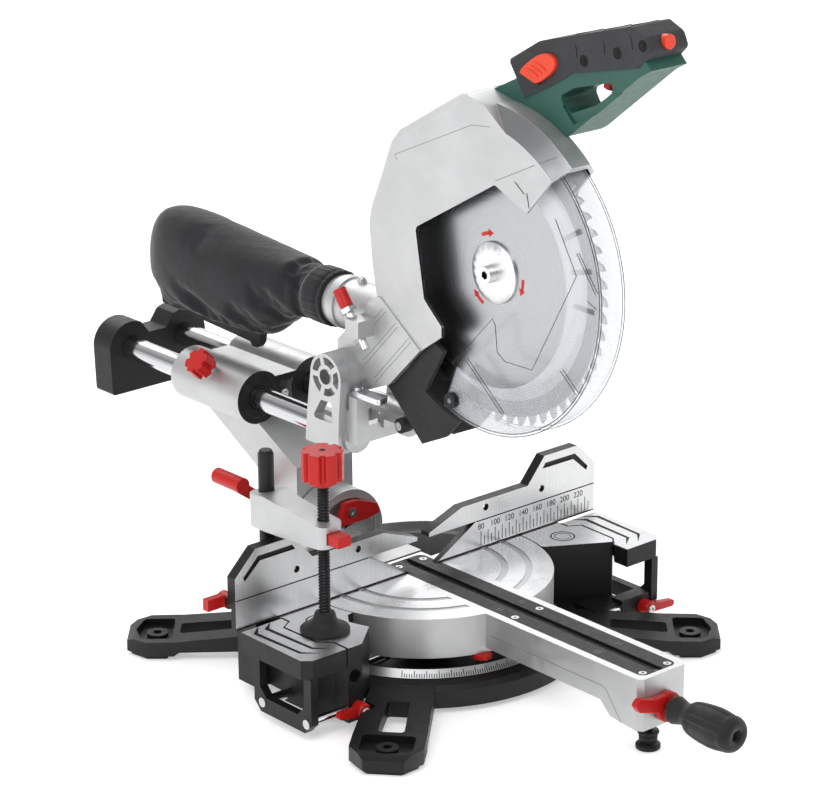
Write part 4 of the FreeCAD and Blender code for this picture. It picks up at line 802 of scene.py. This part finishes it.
# Dark wires along the guard's rims, cutout and ribs: painted shade.
rims = [guard_arc(radius, x) for radius in (160, 157) for x in (-GUARD_SIDE, GUARD_SIDE)]
rims += [[(-GUARD_SIDE, *disc_point(BLADE_AXIS, radius, end)) for radius in (112, 160)] for end in GUARD_ENDS]
wire("guard_rims", rims, 0.5, GUARD_LINE_SHADE, "lower_guard")
panel = [(-206, 506), (-235, 457), (-176, 350), (-138, 349), (-127, 356), (-124, 383), (-120, 388), (-62, 328)]
ribs = [[(-238, 480), (-263, 447)], [(-235, 479), (-260.5, 445)], [(-262, 431), (-250, 436)],
        [(-218, 361.6), (-240, 343)], [(-215, 359), (-237, 340.5)], [(-84, 339.4), (-137, 296)],
        [(-81, 337), (-134, 294)]]
wire("guard_panel", [[(-GUARD_SIDE - 0.2, *point) for point in run] for run in [panel] + ribs], 0.42, GUARD_LINE_SHADE,
     "lower_guard")

SCREW_HEAD = [(4.1, 0), (4.1, 1.0), (3.4, 2.0), (2.0, 2.7), (1.3, 2.8), (1.2, 1.6)]
SCREW_SOCKET = [(4.4, 0), (4.4, 1.6), (3.9, 2.2), (2.2, 2.2), (2.1, 0.9)]
for name, body, place in (("left_lever_screw", "left_table_lever", (-178, -117, 22)),
                          ("right_lever_screw", "right_table_lever", (216, -116, 17.5)),
                          ("plate_screw_left", "column", (-2.5, 219.8, 222))):
    lathe(name, SCREW_SOCKET, place, FRONT, TURNED, body, 24)
# Near-black disc in the clamp knob's socket: painted shade.
lathe("clamp_knob_socket_shade", [(3.2, -0.2), (3.2, 0.15), (2.6, 0.2)], (-177, -56, 276), UP, RECESS_SHADE, "clamp_knob",
      24)
lathe("elbow_screw", SCREW_HEAD, (0, 92, 376.3), UP, STEEL, "head", 24)


def bar(name, outline, low, high, material, body, width=1.0):
    """Plate with this outline in Y and Z between two X, its edges rounded."""
    count = len(outline)
    points = [(x, y, z) for x in (low, high) for y, z in outline]
    faces = [tuple(range(count))[::-1], tuple(range(count, 2 * count))]
    faces += [(k, (k + 1) % count, count + (k + 1) % count, count + k) for k in range(count)]
    made = piece(name, points, faces, material, body)
    bevel = made.modifiers.new("edges", "BEVEL")
    bevel.width = width * MM
    bevel.segments = 3
    made.modifiers.new("normals", "WEIGHTED_NORMAL")
    return made


# Grip

# Grip holes are flat near-black discs and the grooves round the grip are near-black wires: painted shade.
GRIP_HOLE = [(5.6, -0.3), (5.6, 0.1), (5.0, 0.25), (4.7, 0.1), (1.9, 0.1), (1.8, 0.3), (0.9, 0.3)]
for index, (y, z) in enumerate(((-219, 655), (-262, 669.5), (-294, 681.5))):
    lathe(f"grip_hole_{index}", GRIP_HOLE, (6.5, y, z), LEFT, RECESS_SHADE, "head", 32)
wraps = []
for y, z in ((-200, 675.6), (-236, 685.6), (-271, 695.3)):
    wraps.append([(50, y, z - 0.3), (14, y - 1, z), (9.2, y - 3, z - 1.4), (7.1, y - 5, z - 4.4),
                  (6.6, y - 9, z - 11), (6.6, y - 10, z - 19)])
wire("grip_wraps", wraps, 0.55, RECESS_SHADE, "head")
oval = [(-136.5, 629.8), (-139, 634.8), (-151, 644.8), (-163, 652), (-174, 654.6), (-182.5, 651.5), (-184.6, 645),
        (-180, 638), (-170, 630), (-161, 624.4), (-156, 623.6)]
BUTTON_FACE = 2.4
button = bar("thumb_button", eased(oval, 3), BUTTON_FACE, 11.5, ORANGE, "lock_off_button", 2.2)
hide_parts("lock_off_button")
ridges = []
for step in (9, 15.5, 22):
    y, z = -147.8 - 0.8 * step, 628 + 0.6 * step
    ridges.append(straight((y - 7.2, z - 2.4), (y, z + 0.6), (y + 7.2, z + 2.6), width=1.5))
lines("button_ridges", ridges, facing_left(BUTTON_FACE), ORANGE, "lock_off_button", 0.9)


# Dust bag

# Stations along the bag: y, low z, high z, half width, squareness of the section
BAG = [(131, 318.6, 375.4, 28.4, 2.0), (158, 318.6, 375.4, 28.4, 2.0), (164, 320.5, 373.5, 26.4, 2.0),
       (172, 317, 375, 28.6, 2.0), (190, 313, 375.5, 30.5, 2.1), (204, 307, 376, 31.5, 2.2),
       (222, 294, 377.5, 33, 2.4), (246, 281, 380, 35, 2.6), (300, 279, 386, 36, 2.8), (350, 280, 391, 36, 2.8),
       (390, 281, 392, 33.5, 2.6), (412, 282, 386, 27, 2.4), (427, 284, 370, 17, 2.2), (433, 300, 348, 5, 2.0)]


def bag_shell(name):
    """Lofted closed shell of the bag, from its neck to its rear seam."""
    steps, rings = 48, []
    stations = eased(BAG, 4)
    for y, low, high, half, power in stations:
        ring = []
        for step in range(steps):
            angle = 2 * math.pi * step / steps
            across, up = math.cos(angle), math.sin(angle)
            ring.append((half * math.copysign(abs(across) ** (2 / power), across), y,
                         (high + low) / 2 + (high - low) / 2 * math.copysign(abs(up) ** (2 / power), up)))
        rings.append(ring)
    points = [point for ring in rings for point in ring]
    faces = []
    for row in range(len(rings) - 1):
        for k in range(steps):
            one, two = row * steps + k, row * steps + (k + 1) % steps
            faces.append((one, two, two + steps, one + steps))
    faces.append(tuple(range(steps))[::-1])
    faces.append(tuple(len(points) - steps + k for k in range(steps)))
    return piece(name, points, faces, FABRIC, "head")


def baked(made):
    """Replaces a piece's mesh by its shape with modifiers."""
    graph = bpy.context.evaluated_depsgraph_get()
    mesh = bpy.data.meshes.new_from_object(made.evaluated_get(graph), depsgraph=graph)
    made.modifiers.clear()
    made.data = mesh
    mesh.polygons.foreach_set("use_smooth", [True] * len(mesh.polygons))


def inflate(made, held, cap, pressure, slack, frames=20):
    """Cloth simulation, with no point moved more than cap mm and some points held."""
    scene = bpy.context.scene
    group = made.vertex_groups.new(name="held")
    start = [vertex.co.copy() for vertex in made.data.vertices]
    group.add([vertex.index for vertex in made.data.vertices if held(vertex.co / MM)], 1.0, "REPLACE")
    cloth = made.modifiers.new("cloth", "CLOTH")
    cloth.settings.use_pressure = True
    cloth.settings.uniform_pressure_force = pressure
    cloth.settings.vertex_group_mass = "held"
    cloth.settings.shrink_min = -slack
    cloth.settings.quality = 6
    cloth.settings.effector_weights.gravity = 0.0
    cloth.point_cache.frame_end = frames
    for frame_number in range(1, frames + 1):
        scene.frame_set(frame_number)
    shape = made.evaluated_get(bpy.context.evaluated_depsgraph_get())
    shifts = [vertex.co - first for vertex, first in zip(shape.data.vertices, start)]
    made.modifiers.remove(cloth)
    for vertex, first, shift in zip(made.data.vertices, start, shifts):
        if shift.length > cap * MM:
            shift = shift * (cap * MM / shift.length)
        vertex.co = first + shift
    made.vertex_groups.clear()
    scene.frame_set(1)


def at_pipe_or_clip(place):
    """Where the bag is held: round the pipe, and along the clip bar."""
    return place.y < 163 or (place.z < 283.5 and abs(place.x) < 12)


def dust_bag():
    """Slack cloth bag, simulated under pressure."""
    bag = bag_shell("bag_cloth")
    remesh = bag.modifiers.new("remesh", "REMESH")
    remesh.mode = "VOXEL"
    remesh.voxel_size = 4.5 * MM
    baked(bag)
    inflate(bag, at_pipe_or_clip, cap=6.5, pressure=3.0, slack=0.09)
    smoothing = bag.modifiers.new("smoothing", "SUBSURF")
    smoothing.levels = smoothing.render_levels = 1
    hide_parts("dust_bag")


def hem_shape(radius, distance, angle):
    """Fine gathers round the bag's elastic mouth."""
    gather = math.sin(23 * angle) + 0.6 * math.sin(37 * angle + 1.0)
    return radius + 0.32 * gather * (1 - smooth(128, 160, distance) * 0.4)


dust_bag()
hem = [(27.0, 126.5), (28.6, 126.2), (29.6, 127.4), (29.9, 130), (29.3, 131.6), (28.9, 132.2), (29.9, 133.5),
       (30.1, 140), (30.0, 150), (29.8, 156), (28.8, 158.5), (28.0, 158.5)]
lathe("bag_hem", hem, (0, 0, 347), REAR, FABRIC, "head", 144, hem_shape)
clip = [(254, 281), (257, 268), (262, 262), (271, 261.5), (275, 266), (430, 273.5), (431, 280.5)]
bar("bag_clip", clip, -4.6, 4.6, BLACK_PLASTIC, "head")


# ---------------------------------------------------------------- floor, light and camera

FLOOR_TURN = -0.715   # squares the floor to the camera's heading


def backdrop():
    """Wide pale floor that curves up behind, in metres."""
    reach, back, sweep, top = 40, 3.0, 1.2, 5.0
    turns = [math.pi / 2 * k / 10 for k in range(1, 11)]
    profile = [(-reach, 0), (back, 0)]
    profile += [(back + sweep * math.sin(turn), sweep - sweep * math.cos(turn)) for turn in turns]
    profile.append((back + sweep, top))
    mesh = bpy.data.meshes.new("floor")
    points = [(x, y, z) for y, z in profile for x in (-reach, reach)]
    faces = [(2 * k, 2 * k + 1, 2 * k + 3, 2 * k + 2) for k in range(len(profile) - 1)]
    mesh.from_pydata(points, [], faces)
    floor = bpy.data.objects.new("floor", mesh)
    bpy.context.scene.collection.objects.link(floor)
    floor.rotation_euler.z = FLOOR_TURN
    for face in mesh.polygons:
        face.use_smooth = True
    shader = Shader("pale_floor", (0.93, 0.93, 0.93), 0.6)
    shader.vary(shader.noise(600), 0.01)
    shader.principled.inputs["Emission Color"].default_value = (1.0, 1.0, 1.0, 1.0)
    shader.principled.inputs["Emission Strength"].default_value = 0.42
    mesh.materials.append(shader.material)


def area_light(name, place, target, size, power):
    """Rectangular soft light in metres and watts that faces a target."""
    data = bpy.data.lights.new(name, "AREA")
    data.shape = "RECTANGLE"
    data.size, data.size_y = size
    data.energy = power
    lamp = bpy.data.objects.new(name, data)
    lamp.location = place
    lamp.rotation_euler = (Vector(target) - Vector(place)).to_track_quat("-Z", "Y").to_euler()
    bpy.context.scene.collection.objects.link(lamp)


def studio():
    """Floor, four soft lights and a sky that is paler overhead."""
    backdrop()
    centre = (0, 0, 0.3)
    area_light("key", (-1.6, -1.2, 2.6), centre, (1.6, 1.6), 27)
    area_light("fill", (1.9, -2.2, 1.3), centre, (2.0, 1.6), 13)
    area_light("left", (-2.6, 0.6, 1.0), centre, (1.4, 1.8), 17)
    area_light("rim", (1.0, 2.3, 2.2), centre, (2.2, 1.2), 24)
    world = bpy.data.worlds.new("studio")
    world.use_nodes = True
    tree = world.node_tree
    coords, split = tree.nodes.new("ShaderNodeTexCoord"), tree.nodes.new("ShaderNodeSeparateXYZ")
    ramp = tree.nodes.new("ShaderNodeValToRGB")
    tree.links.new(coords.outputs["Generated"], split.inputs["Vector"])
    tree.links.new(split.outputs["Z"], ramp.inputs["Fac"])
    # grey tone at each height of the sky, from the horizon to straight up
    tones = [(0.0, 0.32), (0.12, 0.12), (0.3, 0.3), (0.55, 0.75), (0.8, 0.95), (1.0, 0.8)]
    for index, (place, tone) in enumerate(tones):
        stop = ramp.color_ramp.elements[index] if index < 2 else ramp.color_ramp.elements.new(place)
        stop.position, stop.color = place, (tone, tone, tone, 1.0)
    background = tree.nodes["Background"]
    tree.links.new(ramp.outputs["Color"], background.inputs["Color"])
    background.inputs["Strength"].default_value = 0.75
    bpy.context.scene.world = world
    bpy.context.scene.view_settings.view_transform = "Standard"


def camera():
    """Camera at the fitted viewpoint: heading, pitch and roll in radians."""
    heading, pitch, roll = 0.71502, 0.33806, -0.00598
    ahead = Vector((math.sin(heading) * math.cos(pitch), math.cos(heading) * math.cos(pitch), -math.sin(pitch)))
    right = Vector((math.cos(heading), -math.sin(heading), 0))
    up = right.cross(ahead)
    side = math.cos(roll) * right + math.sin(roll) * up
    top = math.cos(roll) * up - math.sin(roll) * right
    data = bpy.data.cameras.new("camera")
    data.sensor_width = 36.0
    data.lens = 136.03
    data.clip_end = 60.0
    place = (-1.9358, -2.2094, 1.3030)
    made = bpy.data.objects.new("camera", data)
    turn = Matrix((side, top, -ahead)).transposed().to_4x4()
    made.matrix_world = Matrix.Translation(place) @ turn
    bpy.context.scene.collection.objects.link(made)
    bpy.context.scene.camera = made


studio()
camera()
